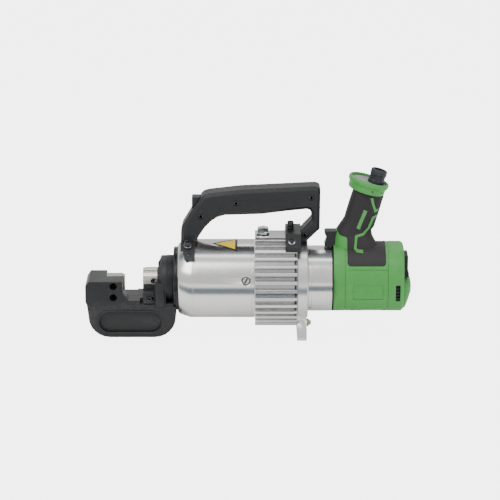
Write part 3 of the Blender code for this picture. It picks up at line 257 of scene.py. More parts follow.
finishOfSlot = {
    "black_steel": "forgedSteel", "tool_steel": "groundSteel", "machined_aluminium": "turnedAluminium",
    "chrome": "chromePlate", "brass": "dullBrass", "green_plastic": "greenNylon", "black_rubber": "softRubber",
    "black_plastic": "blackNylon", "grey_plastic": "greyPlate", "copper_windings": "windings",
    "clear_lens": "lensGlass",
}
slotOfNode = {part["node"]: part["material_slot"] for part in frame["record"]["subparts"]}
for nodeName, node in frame["nodes"].items():
    chosen = "blackOxide" if "bolt" in nodeName or "screw" in nodeName else finishOfSlot[slotOfNode[nodeName]]
    if nodeName == "release_valve_screw":
        chosen = "chromePlate"
    node.data.materials.clear()
    node.data.materials.append(materials[chosen])
bodyOfNode = {part: name for name, parts in frame["record"]["behaviour"]["bodies"].items() for part in parts}


# tools; the welds are distances in metres
welds = {"form": 1e-7, "cad": 2e-6, "stacked": 4e-6, "sliver": 1e-6, "stackedSliver": 2e-6}


def linked(name, data):
    made = bpy.data.objects.new(name, data)
    bpy.context.collection.objects.link(made)
    return made


def meshFrom(form, name):
    mesh = bpy.data.meshes.new(name)
    form.to_mesh(mesh)
    form.free()
    return linked(name, mesh)


def bareMesh(form, name):
    # welds a form and faces it outwards, as a piece or as a tool for a Boolean
    bmesh.ops.remove_doubles(form, verts=form.verts, dist=welds["form"])
    bmesh.ops.recalc_face_normals(form, faces=form.faces)
    return meshFrom(form, name)


def dress(piece, finish, node=None, body=None, smoothAngle=35):
    # a finish, and the body that the piece rides on; it may stand for a CAD node
    piece.data.materials.clear()
    piece.data.materials.append(materials[finish])
    piece.data.shade_smooth()
    piece.data.set_sharp_from_angle(angle=math.radians(smoothAngle))
    if node:
        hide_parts(node)
    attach(piece, body or bodyOfNode[node])
    return piece


def finishPiece(form, name, finish, node=None, body=None, smoothAngle=35):
    return dress(bareMesh(form, name), finish, node, body, smoothAngle)


def evaluated(made):
    # the mesh that an object shows once its modifiers have run
    bpy.context.view_layer.update()
    graph = bpy.context.evaluated_depsgraph_get()
    return bpy.data.meshes.new_from_object(made.evaluated_get(graph))


def combine(body, tool, operation="DIFFERENCE", keep=False):
    step = body.modifiers.new("combine", "BOOLEAN")
    step.operation = operation
    step.object = tool
    result = evaluated(body)
    body.modifiers.remove(step)
    body.data = result
    if not keep:
        bpy.data.objects.remove(tool, do_unlink=True)
    return body


def carve(body, *forms, operation="DIFFERENCE"):
    # Booleans a body with one form after another
    for form in forms:
        combine(body, bareMesh(form, "tool"), operation)
    return body


def twinOf(original, name):
    twin = original.copy()
    twin.data = original.data.copy()
    twin.name = name
    bpy.context.collection.objects.link(twin)
    return twin


def softenEdges(piece, width, segments=3, angle=32):
    rounding = piece.modifiers.new("softEdges", "BEVEL")
    rounding.width = width
    rounding.segments = segments
    rounding.limit_method = "ANGLE"
    rounding.angle_limit = math.radians(angle)
    return piece


def softened(node, finish, width, segments, name, angle=32):
    # the CAD shape with rounded edges
    form = bmesh.new()
    form.from_mesh(frame["nodes"][node].data)
    bmesh.ops.remove_doubles(form, verts=form.verts, dist=welds["cad"])
    bmesh.ops.dissolve_degenerate(form, edges=form.edges, dist=welds["sliver"])
    bmesh.ops.dissolve_limit(form, angle_limit=math.radians(1.0), verts=form.verts, edges=form.edges)
    piece = dress(meshFrom(form, name), finish, node, None, 40)
    return softenEdges(piece, width, segments, angle)


def stood(form, origin, direction, spin=None):
    # turns a form's Z axis to a direction and sets it at a point
    turn = direction.to_track_quat("Z", "Y").to_matrix().to_4x4()
    if spin is not None:
        turn = turn @ Matrix.Rotation(math.radians(spin), 4, "Z")
    bmesh.ops.transform(form, matrix=Matrix.Translation(origin) @ turn, verts=form.verts)
    return form


def steps(along, radius, *moves):
    # profile points, each some millimetres away from one point
    return [(along + shift * mm, radius + grow * mm) for shift, grow in moves]


def ringProfile(low, high, inner, outer):
    return [(low, inner), (low, outer), (high, outer), (high, inner)]


def nearSide(node):
    # the middle of a CAD box's near side
    low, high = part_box(node)
    return Vector(((low.x + high.x) / 2, low.y, (low.z + high.z) / 2))


def turnedForm(profile, sides=128, origin=axis, direction=alongX):
    # a profile of (along, radius) points spun about a line
    form = bmesh.new()
    points = [form.verts.new((radius, 0, along)) for along, radius in profile]
    open_ = profile[0][1] == 0 and profile[-1][1] == 0
    pairs = list(zip(points, points[1:])) + ([] if open_ else [(points[-1], points[0])])
    edges = [form.edges.new(pair) for pair in pairs]
    bmesh.ops.spin(form, geom=points + edges, cent=(0, 0, 0), axis=(0, 0, 1), angle=math.tau, steps=sides,
            use_merge=True)
    return stood(form, origin, direction)


def roundedProfile(corners, radius=0.6 * mm, count=3):
    # breaks each corner of a profile with a small round
    result = []
    for place, corner in enumerate(corners):
        here = Vector(corner)
        before, after = Vector(corners[place - 1]), Vector(corners[(place + 1) % len(corners)])
        if here.y == 0 and (before.y == 0 or after.y == 0 or place in (0, len(corners) - 1)):
            result.append(tuple(here))
            continue
        reach = min(radius, (before - here).length * 0.4, (after - here).length * 0.4)
        start, end = here + (before - here).normalized() * reach, here + (after - here).normalized() * reach
        for step in range(count + 1):
            share = step / count
            point = start.lerp(here, share).lerp(here.lerp(end, share), share)
            result.append((point.x, point.y))
    return result


def turnedPiece(name, profile, finish, node=None, body=None, sides=128, origin=axis, direction=alongX,
        radius=0.6 * mm):
    form = turnedForm(roundedProfile(profile, radius), sides, origin, direction)
    return finishPiece(form, name, finish, node, body)


def prismForm(outline, low, high, plane="Y"):
    # an outline extruded along X, Y or Z
    place = {"X": lambda p, d: (d, p[0], p[1]), "Y": lambda p, d: (p[0], d, p[1]), "Z": lambda p, d: (p[0], p[1], d)}
    form = bmesh.new()
    face = form.faces.new([form.verts.new(place[plane](point, low)) for point in outline])
    grown = bmesh.ops.extrude_face_region(form, geom=[face])["geom"]
    shift = Vector(place[plane]((0, 0), high - low))
    bmesh.ops.translate(form, vec=shift, verts=[item for item in grown if isinstance(item, bmesh.types.BMVert)])
    bmesh.ops.recalc_face_normals(form, faces=form.faces)
    return form


def boxForm(low, high):
    outline = [(low[0], low[2]), (high[0], low[2]), (high[0], high[2]), (low[0], high[2])]
    return prismForm(outline, low[1], high[1])


def arcPoints(centre, radius, start, end, count):
    angles = [math.radians(start + (end - start) * step / count) for step in range(count + 1)]
    return [(centre[0] + radius * math.cos(angle), centre[1] + radius * math.sin(angle)) for angle in angles]


def stadium(centre, length, height, count=16):
    reach = (length - height) / 2
    right = arcPoints((centre[0] + reach, centre[1]), height / 2, -90, 90, count)
    return right + arcPoints((centre[0] - reach, centre[1]), height / 2, 90, 270, count)


def skinned(form, loops):
    # joins each loop to the next and closes both ends
    for one, other in zip(loops, loops[1:]):
        rims = [edge for edge in form.edges if all(vert in one or vert in other for vert in edge.verts)]
        rims = [edge for edge in rims if (edge.verts[0] in one) == (edge.verts[1] in one)]
        bmesh.ops.bridge_loops(form, edges=rims)
    for loop in (loops[0], loops[-1]):
        form.faces.new(loop)
    return form


def loftForm(sections, sides=72, power=2.6):
    # rounded-square sections, each with a centre and two half axes
    form = bmesh.new()
    loops = []
    for centre, first, second in sections:
        made = bmesh.ops.create_circle(form, cap_ends=False, segments=sides, radius=1)["verts"]
        for vert in made:
            angle = math.atan2(vert.co.y, vert.co.x)
            across = math.copysign(abs(math.cos(angle)) ** (2 / power), math.cos(angle))
            up = math.copysign(abs(math.sin(angle)) ** (2 / power), math.sin(angle))
            vert.co = centre + first * across + second * up
        loops.append(made)
    return skinned(form, loops)


# socket head screws in millimetres: head, its height, socket, its depth, shank, its reach
screwSizes = {
    "blade": (9.6, 7, 5, 3.5, 6, 23), "stop": (7.4, 2.2, 3, 1.6, 4, 19), "movingBlade": (7.6, 3.6, 3.4, 2, 4, 20),
    "handle": (8, 2.2, 4.2, 1.7, 4, 27), "clamp": (8.8, 7.5, 5, 3.5, 5, 15), "bracket": (9, 7, 5, 4, 5, 21),
    "tiny": (4.4, 1, 2.2, 0.9, 0, 0), "slope": (7, 2.4, 3.4, 1.8, 0, 0),
}


def socketScrew(name, kind, top, out, node=None, body=None):
    # a chamfered head with a hexagon socket, and a shank where it has one
    width, height, socket, depth, shank, reach = [size * mm for size in screwSizes[kind]]
    radius, socket = width / 2, socket / 2
    form = bmesh.new()
    rings = []
    shapes = [
        (-height, radius * 0.97, False), (-height + 0.3 * mm, radius, False), (-0.5 * mm, radius, False),
        (-0.15 * mm, radius - 0.2 * mm, False), (0, radius - 0.55 * mm, False), (0, socket, True),
        (-depth, socket * 0.98, True),
    ]
    if shank:
        shapes = [(-height - reach, shank / 2, False), (-height - 0.01 * mm, shank / 2, False)] + shapes
    for along, size, hexagon in shapes:
        made = bmesh.ops.create_circle(form, cap_ends=False, segments=48, radius=1)["verts"]
        for vert in made:
            angle = math.atan2(vert.co.y, vert.co.x)
            across = size
            if hexagon:
                part = (angle + math.pi / 6) % (math.pi / 3) - math.pi / 6
                across = size * math.cos(math.pi / 6) / math.cos(part)
            vert.co = Vector((math.cos(angle) * across, math.sin(angle) * across, along))
        rings.append(made)
    skinned(form, rings)
    return finishPiece(stood(form, top, out), name, "blackOxide", node, body, 30)


# cutting head
head = {"rimWire": 1.5 * mm, "recess": (-165 * mm, 22 * mm), "recessLength": 88 * mm, "recessHeight": 30 * mm,
        "faceY": 28 * mm, "neckRadius": 32.5 * mm, "threadStart": -114.5 * mm, "threadEnd": -105.2 * mm,
        "threadTurns": 6, "lugX": -122.9 * mm, "lugY": -27.6 * mm, "lugHalf": (7.4 * mm, 5.2 * mm),
        "lugSections": ((45.5, 0.94), (46.3, 1), (78.2, 1), (80, 0.93))}


def buildHead():
    softened("cutter_head", "forgedSteel", 1.3 * mm, 3, "cutterHead")
    for side, label in ((-1, "Front"), (1, "Back")):
        wire = bpy.data.curves.new("recessRim" + label, "CURVE")
        wire.dimensions = "3D"
        wire.bevel_depth = head["rimWire"]
        wire.bevel_resolution = 4
        line = wire.splines.new("POLY")
        outline = stadium(head["recess"], head["recessLength"] + 2 * mm, head["recessHeight"] + 2 * mm)
        line.points.add(len(outline) - 1)
        for point, (x, z) in zip(line.points, outline):
            point.co = (x, side * (head["faceY"] - 0.5 * mm), z, 1)
        line.use_cyclic_u = True
        holder = linked("rimWire", wire)
        mesh = evaluated(holder)
        bpy.data.objects.remove(holder, do_unlink=True)
        dress(linked("recessRim" + label, mesh), "forgedSteel", None, "root", 60)
    # upright lug beside the window, half round
    lug = []
    for height, size in head["lugSections"]:
        centre = Vector((head["lugX"], head["lugY"], height * mm))
        lug.append((centre, Vector((head["lugHalf"][0] * size, 0, 0)), Vector((0, head["lugHalf"][1] * size, 0))))
    finishPiece(loftForm(lug, 48, 2.6), "headLug", "forgedSteel", None, "root", 40)
    # screw thread on the neck, between the block and the collar
    first, last, neck, turns = head["threadStart"], head["threadEnd"], head["neckRadius"], head["threadTurns"]
    profile = [(first, neck - 1 * mm)]
    for turn in range(turns):
        start, pitch = first + (last - first) * turn / turns, (last - first) / turns
        profile += [(start + 0.15 * pitch, neck + 0.1 * mm), (start + 0.5 * pitch, neck + 0.45 * mm),
                    (start + 0.85 * pitch, neck + 0.1 * mm)]
    profile += [(last, neck - 1 * mm)]
    finishPiece(turnedForm(profile, 96), "neckThread", "forgedSteel", None, "root", 50)
    low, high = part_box("collar_nut")
    width, outer = high.x - low.x, (high.z - low.z) / 2
    groove, floor = (low.x + width * 0.5, low.x + width * 0.62), outer - 0.8 * mm
    profile = [(low.x, cylinder["spigot"]), (low.x, outer - 1.5 * mm), (low.x + 1.5 * mm, outer), (groove[0], outer),
               (groove[0], floor), (groove[1], floor), (groove[1], outer), (high.x, outer),
               (high.x, cylinder["spigot"])]
    turnedPiece("collarRing", profile, "blackOxide", "collar_nut", radius=0.4 * mm)
    softened("fixed_blade", "groundSteel", 0.5 * mm, 2, "fixedBlade")
    softened("moving_blade", "groundSteel", 0.5 * mm, 2, "movingBlade")
    softened("ram", "groundSteel", 0.3 * mm, 2, "ramRod", 40)
    softened("rebar_stop", "forgedSteel", 0.8 * mm, 3, "rebarStop")
    for count in (1, 2):
        node = f"blade_bolt_{count}"
        socketScrew(f"bladeBolt{count}", "blade", nearSide(node), -toBack, node)
    socketScrew("stopScrew", "stop", nearSide("stop_screw"), -toBack, "stop_screw")
    socketScrew("movingBladeBolt", "movingBlade", nearSide("moving_blade_bolt"), -toBack, "moving_blade_bolt")
    print("cutting head built")


# ram cylinder
cylinder = {"noseDrop": 9 * mm, "noseLength": 17.5 * mm, "bore": 36 * mm, "spigot": 26.3 * mm, "port": 4 * mm,
            "shoulder": -84 * mm, "boreEnd": -12 * mm, "groove": 0.35 * mm, "valveX": -3 * mm, "valveTilt": 12,
            "valveRadius": 6.3 * mm, "slotTurn": 60, "stroke": 27 * mm}
valveOut = Vector((0, -math.cos(math.radians(cylinder["valveTilt"])), math.sin(math.radians(cylinder["valveTilt"]))))


def buildCylinder():
    low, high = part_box("ram_cylinder")
    start, end, outer = low.x, high.x, (high.z - low.z) / 2
    face = outer - cylinder["noseDrop"]
    profile = [(start, cylinder["spigot"])] + steps(start, face, (0, 0), (0.4, 1.2), (1, 2.3), (1.8, 3.4), (2.8, 4.2))
    profile += [(start + cylinder["noseLength"], outer)]
    for ringX in (start + 22 * mm, end - 4.5 * mm):
        profile += [(ringX - 0.4 * mm, outer), (ringX, outer - cylinder["groove"]), (ringX + 0.4 * mm, outer)]
    profile += [(end - 0.7 * mm, outer), (end, outer - 0.7 * mm), (end, cylinder["port"]),
                (cylinder["boreEnd"], cylinder["port"]), (cylinder["boreEnd"], cylinder["bore"]),
                (cylinder["shoulder"], cylinder["bore"]), (cylinder["shoulder"], cylinder["spigot"])]
    body = bareMesh(turnedForm(profile, 160), "cylinderBody")
    valveAt = Vector((cylinder["valveX"], 0, axisZ))
    valve = cylinder["valveRadius"]
    bore = [(20 * mm, 0), (20 * mm, valve), (outer - 0.9 * mm, valve), (outer + 2 * mm, valve + 4.6 * mm),
            (outer + 2 * mm, 0)]
    carve(body, turnedForm(bore, 48, valveAt, valveOut))
    dress(body, "turnedAluminium", "ram_cylinder")
    # slotted release screw in its bore
    face, radius = outer - 1.2 * mm, valve - 1.5 * mm
    stem = [(21 * mm, 0), (24 * mm, 3 * mm), (30 * mm, 3 * mm), (30 * mm, radius), (face - 0.5 * mm, radius),
            (face, radius - 0.5 * mm), (face, 0)]
    screw = bareMesh(turnedForm(stem, 64, valveAt, valveOut), "releaseScrew")
    slot = boxForm((-9 * mm, -1.1 * mm, face - 2.2 * mm), (9 * mm, 1.1 * mm, face + 1 * mm))
    carve(screw, stood(slot, valveAt, valveOut, cylinder["slotTurn"]))
    dress(screw, "chromePlate", "release_valve_screw")
    # black seal round the screw, and a thin black box in its slot as painted shadow on the slot's floor
    seal = steps(face, radius, (-3, 0.15), (-0.9, 0.15), (-0.9, 1.3), (-3, 1.3))
    turnedPiece("valveSeal", seal, "printSealAndShadeBlack", None, "root", 64, valveAt, valveOut, 0.3 * mm)
    floor = boxForm((-radius + 0.6 * mm, -1 * mm, face - 2.15 * mm), (radius - 0.6 * mm, 1 * mm, face - 1.3 * mm))
    stood(floor, valveAt, valveOut, cylinder["slotTurn"])
    finishPiece(floor, "slotFloorShadow", "printSealAndShadeBlack", None, "release_screw")
    # the return spring, copied from the CAD node with a mesh of its own; the real one shortens towards its front end
    # as the ram moves out
    low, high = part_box("return_spring")
    spring = linked("returnSpring", frame["nodes"]["return_spring"].data.copy())
    dress(spring, "groundSteel", "return_spring", None, 50)
    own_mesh(spring)
    print("cylinder built")


# hazard triangle on the cylinder's shoulder: a plain mark with no sign in it
label = {"tipX": -51 * mm, "baseX": -15 * mm, "middle": 77, "halfAngle": 19, "lift": 0.12 * mm, "border": 3.2 * mm}


def wrapOnCylinder(form, radius):
    for vert in form.verts:
        angle, height = vert.co.y / radius, radius + vert.co.z
        vert.co = Vector((vert.co.x, -height * math.cos(angle), axisZ + height * math.sin(angle)))


def buildLabel():
    radius = (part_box("ram_cylinder")[1].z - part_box("ram_cylinder")[0].z) / 2
    middle, half = math.radians(label["middle"]) * radius, math.radians(label["halfAngle"]) * radius
    for name, finish, inset, lift in (("hazardBorder", "printSealAndShadeBlack", 0, 1), ("hazardField", "labelYellow", 1, 1.8)):
        shift = inset * label["border"]
        tip, base = label["tipX"] + shift * 1.9, label["baseX"] - shift
        reach = half * (base - tip) / (label["baseX"] - label["tipX"])
        outline = [(tip, middle), (base, middle - reach), (base, middle + reach)]
        form = prismForm(outline, 0.02 * mm, label["lift"] * lift, "Z")
        for line in range(1, 14):
            cutY = middle - half + 2 * half * line / 14
            bmesh.ops.bisect_plane(form, geom=form.verts[:] + form.edges[:] + form.faces[:],
                    plane_co=(0, cutY, 0), plane_no=(0, 1, 0))
        wrapOnCylinder(form, radius)
        finishPiece(form, name, finish, None, "root", 30)
    print("label built")


# finned pump case
case = {"fins": 36, "grooveShare": 0.58, "depth": 4.8 * mm, "landHalf": 20 * mm, "land": 64 * mm, "bore": 50 * mm,
        "landAngle": 21, "wall": 4.6 * mm, "slotLength": 2.6 * mm, "slotDepth": 4.2 * mm}


def finOutline(radius):
    # rounded fin crests and square grooves, with the flat land on top
    points = [(-case["landHalf"], case["land"]), (case["landHalf"], case["land"])]
    pitch = 360 / case["fins"]
    half, deep = pitch * case["grooveShare"] / 2, case["depth"]
    for fin in range(case["fins"]):
        middle = pitch * (fin + 0.5)
        if min(middle, 360 - middle) < case["landAngle"]:
            continue
        side = [(0.7, 0), (0.15, 0.35 * mm), (0, 1 * mm), (-0.35, deep - 0.8 * mm), (-1, deep)]
        outline = [(-half - turn, drop) for turn, drop in side] + [(half + turn, drop) for turn, drop in side[::-1]]
        for turn, drop in outline:
            angle = math.radians(90 - middle - turn)
            points.append(((radius - drop) * math.cos(angle), (radius - drop) * math.sin(angle)))
    return [(y, z + axisZ) for y, z in points]


def buildPump():
    low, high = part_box("pump_case")
    radius = (high.y - low.y) / 2
    body = bareMesh(prismForm(finOutline(radius), low.x, high.x, "X"), "pumpCaseBody")
    start, end = low.x + case["wall"], high.x + 1 * mm
    carve(body, turnedForm([(start, 0), (start, case["bore"]), (end, case["bore"]), (end, 0)], 96))
    # a deeper slot ends each groove, beside the flange; the black seen in it is painted shadow from a ring set below
    pitch = math.tau / case["fins"]
    for fin in range(case["fins"]):
        middle = pitch * (fin + 0.5)
        if min(middle, math.tau - middle) < math.radians(case["landAngle"]):
            continue
        out = Vector((0, math.sin(middle), math.cos(middle)))
        half = radius * pitch * case["grooveShare"] / 2 - 0.4 * mm
        reach, deep = case["slotLength"] / 2, case["slotDepth"]
        slot = boxForm((-reach, -half, 0), (reach, half, deep + 2 * mm))
        turn = Matrix.Rotation(-middle, 4, "X")
        place = Vector((high.x - reach - 1.2 * mm, 0, axisZ)) + out * (radius - case["depth"] - deep)
        bmesh.ops.transform(slot, matrix=Matrix.Translation(place) @ turn, verts=slot.verts)
        carve(body, slot)
    dress(body, "ribbedAluminium", "pump_case", None, 30)
    # a black ring below the groove floors fills the slots: painted shadow
    floor = radius - case["depth"]
    slotShadowRing = ringProfile(high.x - 3.8 * mm, high.x - 1.2 * mm, floor - 3 * mm, floor - 0.5 * mm)
    finishPiece(turnedForm(slotShadowRing, 96), "slotShadow", "printSealAndShadeBlack", None, "root")
    softenEdges(body, 0.25 * mm, 1, 60)
    # hexagon filler plug, domed and flanged
    plugLow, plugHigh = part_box("filler_plug")
    centre = Vector(((plugLow.x + plugHigh.x) / 2, 0, 0))
    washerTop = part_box("filler_washer")[1].z
    outer = (plugHigh.x - plugLow.x) / 2
    flange = [(plugLow.z, 0), (plugLow.z, 5 * mm), (washerTop + 0.3 * mm, 5 * mm)]
    flange += steps(washerTop, outer, (0.3, 0), (2, 0), (2.6, -0.8)) + [(washerTop + 2.6 * mm, 0)]
    plug = bareMesh(turnedForm(flange, 64, centre, upZ), "fillerPlug")
    hexSide = bmesh.new()
    bmesh.ops.create_cone(hexSide, cap_ends=True, segments=6, radius1=outer - 0.6 * mm, radius2=outer - 0.6 * mm,
            depth=plugHigh.z - washerTop - 2 * mm)
    middleZ = (plugHigh.z + washerTop + 2 * mm) / 2
    bmesh.ops.translate(hexSide, vec=centre + upZ * middleZ, verts=hexSide.verts)
    hexBody = bareMesh(hexSide, "hexBody")
    dome = [(washerTop, 0), (washerTop, outer + 2 * mm)]
    dome += steps(plugHigh.z, outer, (-2.6, 0.6), (-0.9, -1.6), (-0.1, -3.4)) + [(plugHigh.z - 0.1 * mm, 0)]
    carve(hexBody, turnedForm(dome, 64, centre, upZ), operation="INTERSECT")
    combine(plug, hexBody, "UNION")
    dress(plug, "chromePlate", "filler_plug")
    softenEdges(plug, 0.3 * mm, 2, 30)
    softened("flange_plate", "castAluminium", 0.8 * mm, 2, "flangePlate", 50)
    softened("drain_fitting", "dullBrass", 0.4 * mm, 2, "drainFitting")
    print("pump built")


# motor adaptor, with turned steps
def buildAdaptor():
    low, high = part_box("motor_adaptor")
    outer = (high.z - low.z) / 2
    inner = outer - 7.7 * mm
    profile = [(low.x, inner), (low.x, outer - 0.8 * mm), (low.x + 0.8 * mm, outer)]
    for ringX in (low.x + 4 * mm, high.x - 8 * mm, high.x - 3 * mm):
        profile += steps(ringX, outer, (0, 0), (0.3, -0.5), (0.9, -0.5), (1.2, 0))
    profile += [(high.x - 0.5 * mm, outer), (high.x, outer - 0.5 * mm), (high.x, inner)]
    finishPiece(turnedForm(profile, 160), "motorAdaptor", "turnedAluminium", "motor_adaptor")
    low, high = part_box("adaptor_gasket")
    turnedPiece("adaptorGasket", ringProfile(low.x, high.x, inner, outer), "softRubber", "adaptor_gasket",
                radius=0.3 * mm)
    print("adaptor built")


# motor housing and grip
housing = {"rise": 3.5 * mm, "halfHeight": 47.6 * mm, "halfWidth": 42 * mm, "skin": 2.5 * mm, "wall": 3 * mm,
           "gap": 0.3 * mm, "start": 119 * mm, "end": 227.5 * mm, "tail": 10.5 * mm, "endWall": 4.5 * mm,
           "line": 0.7 * mm, "accentLift": 0.5 * mm, "ventX": (205.2 * mm, 211.7 * mm), "ventZ": (56 * mm, 80 * mm),
           "lines": (((145.5, 58.5), (188, 80.5)), ((134.6, 30), (135.5, 128)), ((194, 30), (195, 131)),
        ((139, 101.4), (193.4, 102.3)), ((158, 30), (186, 38)))}
grip = {"tilt": 16.5, "foot": Vector((147 * mm, 0, 135 * mm)), "length": 72.5 * mm, "depth": 21.8 * mm,
        "width": 18.5 * mm, "swell": ((27, 0), (36, 0.2), (50, 0.3), (62, 0.1)),
        "flare": ((100, 153, 33, 26), (128, 150, 30.5, 23), (135, 148.2, 28.4, 21.4), (141, 147, 26.6, 20),
        (146, 146.8, 25.6, 19.2), (150, 147.3, 24.7, 18.8))}
gripUp = Vector((math.sin(math.radians(grip["tilt"])), 0, math.cos(math.radians(grip["tilt"]))))
gripBack = Vector((math.cos(math.radians(grip["tilt"])), 0, -math.sin(math.radians(grip["tilt"]))))


def barrelForm(shrink=0.0, start=0.0, end=0.0):
    last = housing["end"] - housing["tail"] - end
    stations = [(housing["start"] + start, 1, 1), (last - 4.2 * mm, 1, 1), (last - 3.4 * mm, 0.997, 0.996),
                (last - 1 * mm, 0.955, 0.948), (last - 0.3 * mm, 0.94, 0.93), (last, 0.925, 0.915)]
    sections = []
    for x, tall, wide in stations:
        centre = Vector((x, 0, axisZ + housing["rise"]))
        sections.append((centre, Vector((0, (housing["halfWidth"] - shrink) * wide, 0)),
                Vector((0, 0, (housing["halfHeight"] - shrink) * tall))))
    return loftForm(sections, 96, 2.7)


def tailForm():
    # the blunt bulge low on the rear face
    inner = (housing["end"] - housing["tail"]) / mm
    end = housing["end"] / mm
    stations = [(inner - 2, 59.5, 21, 31), (inner + 1.6, 60.4, 21.9, 31), (inner + 2.4, 60.9, 21.4, 30.7),
                (end - 3.9, 65.9, 15.9, 26.4), (end - 3.1, 66.8, 14.6, 25.4), (end - 0.6, 69.6, 8.9, 19.8),
                (end, 70, 7.6, 18.4)]
    sections = [(Vector((x * mm, 0, middle * mm)), Vector((0, wide * mm, 0)), Vector((0, 0, tall * mm)))
                for x, middle, tall, wide in stations]
    return loftForm(sections, 96, 2.7)


def gripForm(shrink=0.0, extra=0.0):
    sections = []
    for z, x, depth, width in grip["flare"]:
        sections.append((Vector((x * mm, 0, z * mm)), Vector((depth * mm - shrink, 0, 0)),
                Vector((0, width * mm - shrink, 0))))
    for height, swell in grip["swell"] + ((grip["length"] / mm, 0),):
        along = height * mm + (extra if height == grip["length"] / mm else 0)
        centre = grip["foot"] + gripUp * along
        sections.append((centre, gripBack * (grip["depth"] + swell * mm - shrink),
                Vector((0, grip["width"] + swell * mm - shrink, 0))))
    return loftForm(sections, 80, 2.6)


def zoneForm(grow=0.0):
    left, right, low = 138 * mm - grow, 191 * mm + grow, 107 * mm - grow
    lowLeft = arcPoints((left + 5 * mm, low + 5 * mm), 5 * mm, 180, 270, 5)
    lowRight = arcPoints((right - 5 * mm, low + 5 * mm), 5 * mm, 270, 360, 5)
    rim = [(260, 138), (260, 260), (90, 260)]
    cheek = [(90, 157), (121.6, 157), (123.6, 152.5), (126, 147.8), (127.7, 145.9), (129.6, 145), (132, 144.5),
             (134.6, 144.2), (136.9, 143), (138, 140.5)]
    outline = lowLeft + lowRight + [(right, 138 * mm)] + [(x * mm, z * mm) for x, z in rim]
    return prismForm(outline + [(x * mm - grow, z * mm - grow) for x, z in cheek], -90 * mm, 90 * mm)


def cleaned(piece):
    # welds the slivers that stacked Booleans leave
    form = bmesh.new()
    form.from_mesh(piece.data)
    bmesh.ops.remove_doubles(form, verts=form.verts, dist=welds["stacked"])
    bmesh.ops.dissolve_degenerate(form, edges=form.edges, dist=welds["stackedSliver"])
    form.to_mesh(piece.data)
    form.free()
    return piece


def splitHalves(whole, leftNames, rightNames, finish):
    # the right half is cut out, and the left one mirrors it
    cleaned(whole)
    carve(whole, boxForm((-1, -0.3, -1), (1, housing["gap"] / 2, 1)))
    mirrored = twinOf(whole, leftNames[0])
    mirrored.data.transform(Matrix.Scale(-1, 4, toBack))
    mirrored.data.flip_normals()
    for half, (name, node) in ((whole, rightNames), (mirrored, leftNames)):
        half.name = name
        dress(half, finish, node, None, 32)
        softenEdges(half, 0.35 * mm, 2, 50)


def buildHousing():
    skin, gap = housing["skin"], housing["gap"]
    full = carve(bareMesh(barrelForm(), "full"), gripForm(), tailForm(), operation="UNION")
    cover = carve(twinOf(full, "cover"), zoneForm(), operation="INTERSECT")
    carve(cover, barrelForm(skin - gap, -5 * mm), gripForm(skin - gap, 8 * mm))
    shell = carve(full, zoneForm(gap))
    carve(shell, barrelForm(skin, 1 * mm, 1 * mm), gripForm(skin, -0.4 * mm), operation="UNION")
    inner = skin + housing["wall"]
    carve(shell, barrelForm(inner, -5 * mm, housing["endWall"]), gripForm(inner, 8 * mm))
    low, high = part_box("trigger")
    for piece in (shell, cover):
        carve(piece, boxForm((90 * mm, low.y - gap, low.z - 2 * gap), (140 * mm, high.y + gap, high.z + gap)))
    # the bumper's seat, and a vent on each side
    low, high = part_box("rear_bumper")
    carve(shell, boxForm(low - Vector((gap, gap, gap)), high + Vector((10 * mm, gap, gap))))
    (start, end), (bottom, top) = housing["ventX"], housing["ventZ"]
    for side in (-1, 1):
        near, far = sorted((side * 25 * mm, side * 60 * mm))
        carve(shell, boxForm((start, near, bottom), (end, far, top)))
    # shallow lines that follow the surface: a name panel, ribs and parting steps
    band = bareMesh(barrelForm(-1 * mm, -5 * mm, -5 * mm), "band")
    carve(band, barrelForm(housing["line"], -9 * mm, -9 * mm))
    for low, high in housing["lines"]:
        form = boxForm((low[0] * mm, -60 * mm, low[1] * mm), (high[0] * mm, 60 * mm, high[1] * mm))
        line = bareMesh(form, "line")
        combine(line, band, "INTERSECT", True)
        combine(shell, line)
    bpy.data.objects.remove(band, do_unlink=True)
    splitHalves(shell, ("shellLeft", "motor_shell_left"), ("shellRight", "motor_shell_right"), "greenNylon")
    splitHalves(cover, ("overmouldLeft", "overmould_left"), ("overmouldRight", "overmould_right"), "softRubber")
    print("housing built")


def gripPoint(across, height):
    # a point on the grip's side view, from its own axes
    point = grip["foot"] + gripBack * across + gripUp * height
    return point.x, point.z


accents = {
    "accentLong": (3.4 * mm, ((19.8, 45.3), (15.1, 41.4), (13.7, 26.2), (8.9, 15.7), (0.3, 10.1), (3.7, -6.2),
        (7.1, -7.9), (15, -6.4))),
    "accentBar": (4.6 * mm, ((1.9, 49.2), (-0.4, 21))),
    "accentHook": (3.4 * mm, ((5, 68.4), (9.4, 60.5), (15.4, 51.6), (18.6, 54.1))),
}


def ribbonOutline(points, width):
    # a line thickened to a strip with mitred bends
    left, right = [], []
    for place, point in enumerate(points):
        before = Vector(points[max(place - 1, 0)])
        after = Vector(points[min(place + 1, len(points) - 1)])
        here = Vector(point)
        inward = (here - before).normalized() if place else (after - here).normalized()
        outward = (after - here).normalized() if place < len(points) - 1 else inward
        across = (inward + outward).normalized().orthogonal()
        reach = width / 2 / max(across.dot(inward.orthogonal()), 0.5)
        left.append(tuple(here + across * reach))
        right.append(tuple(here - across * reach))
    return left + right[::-1]


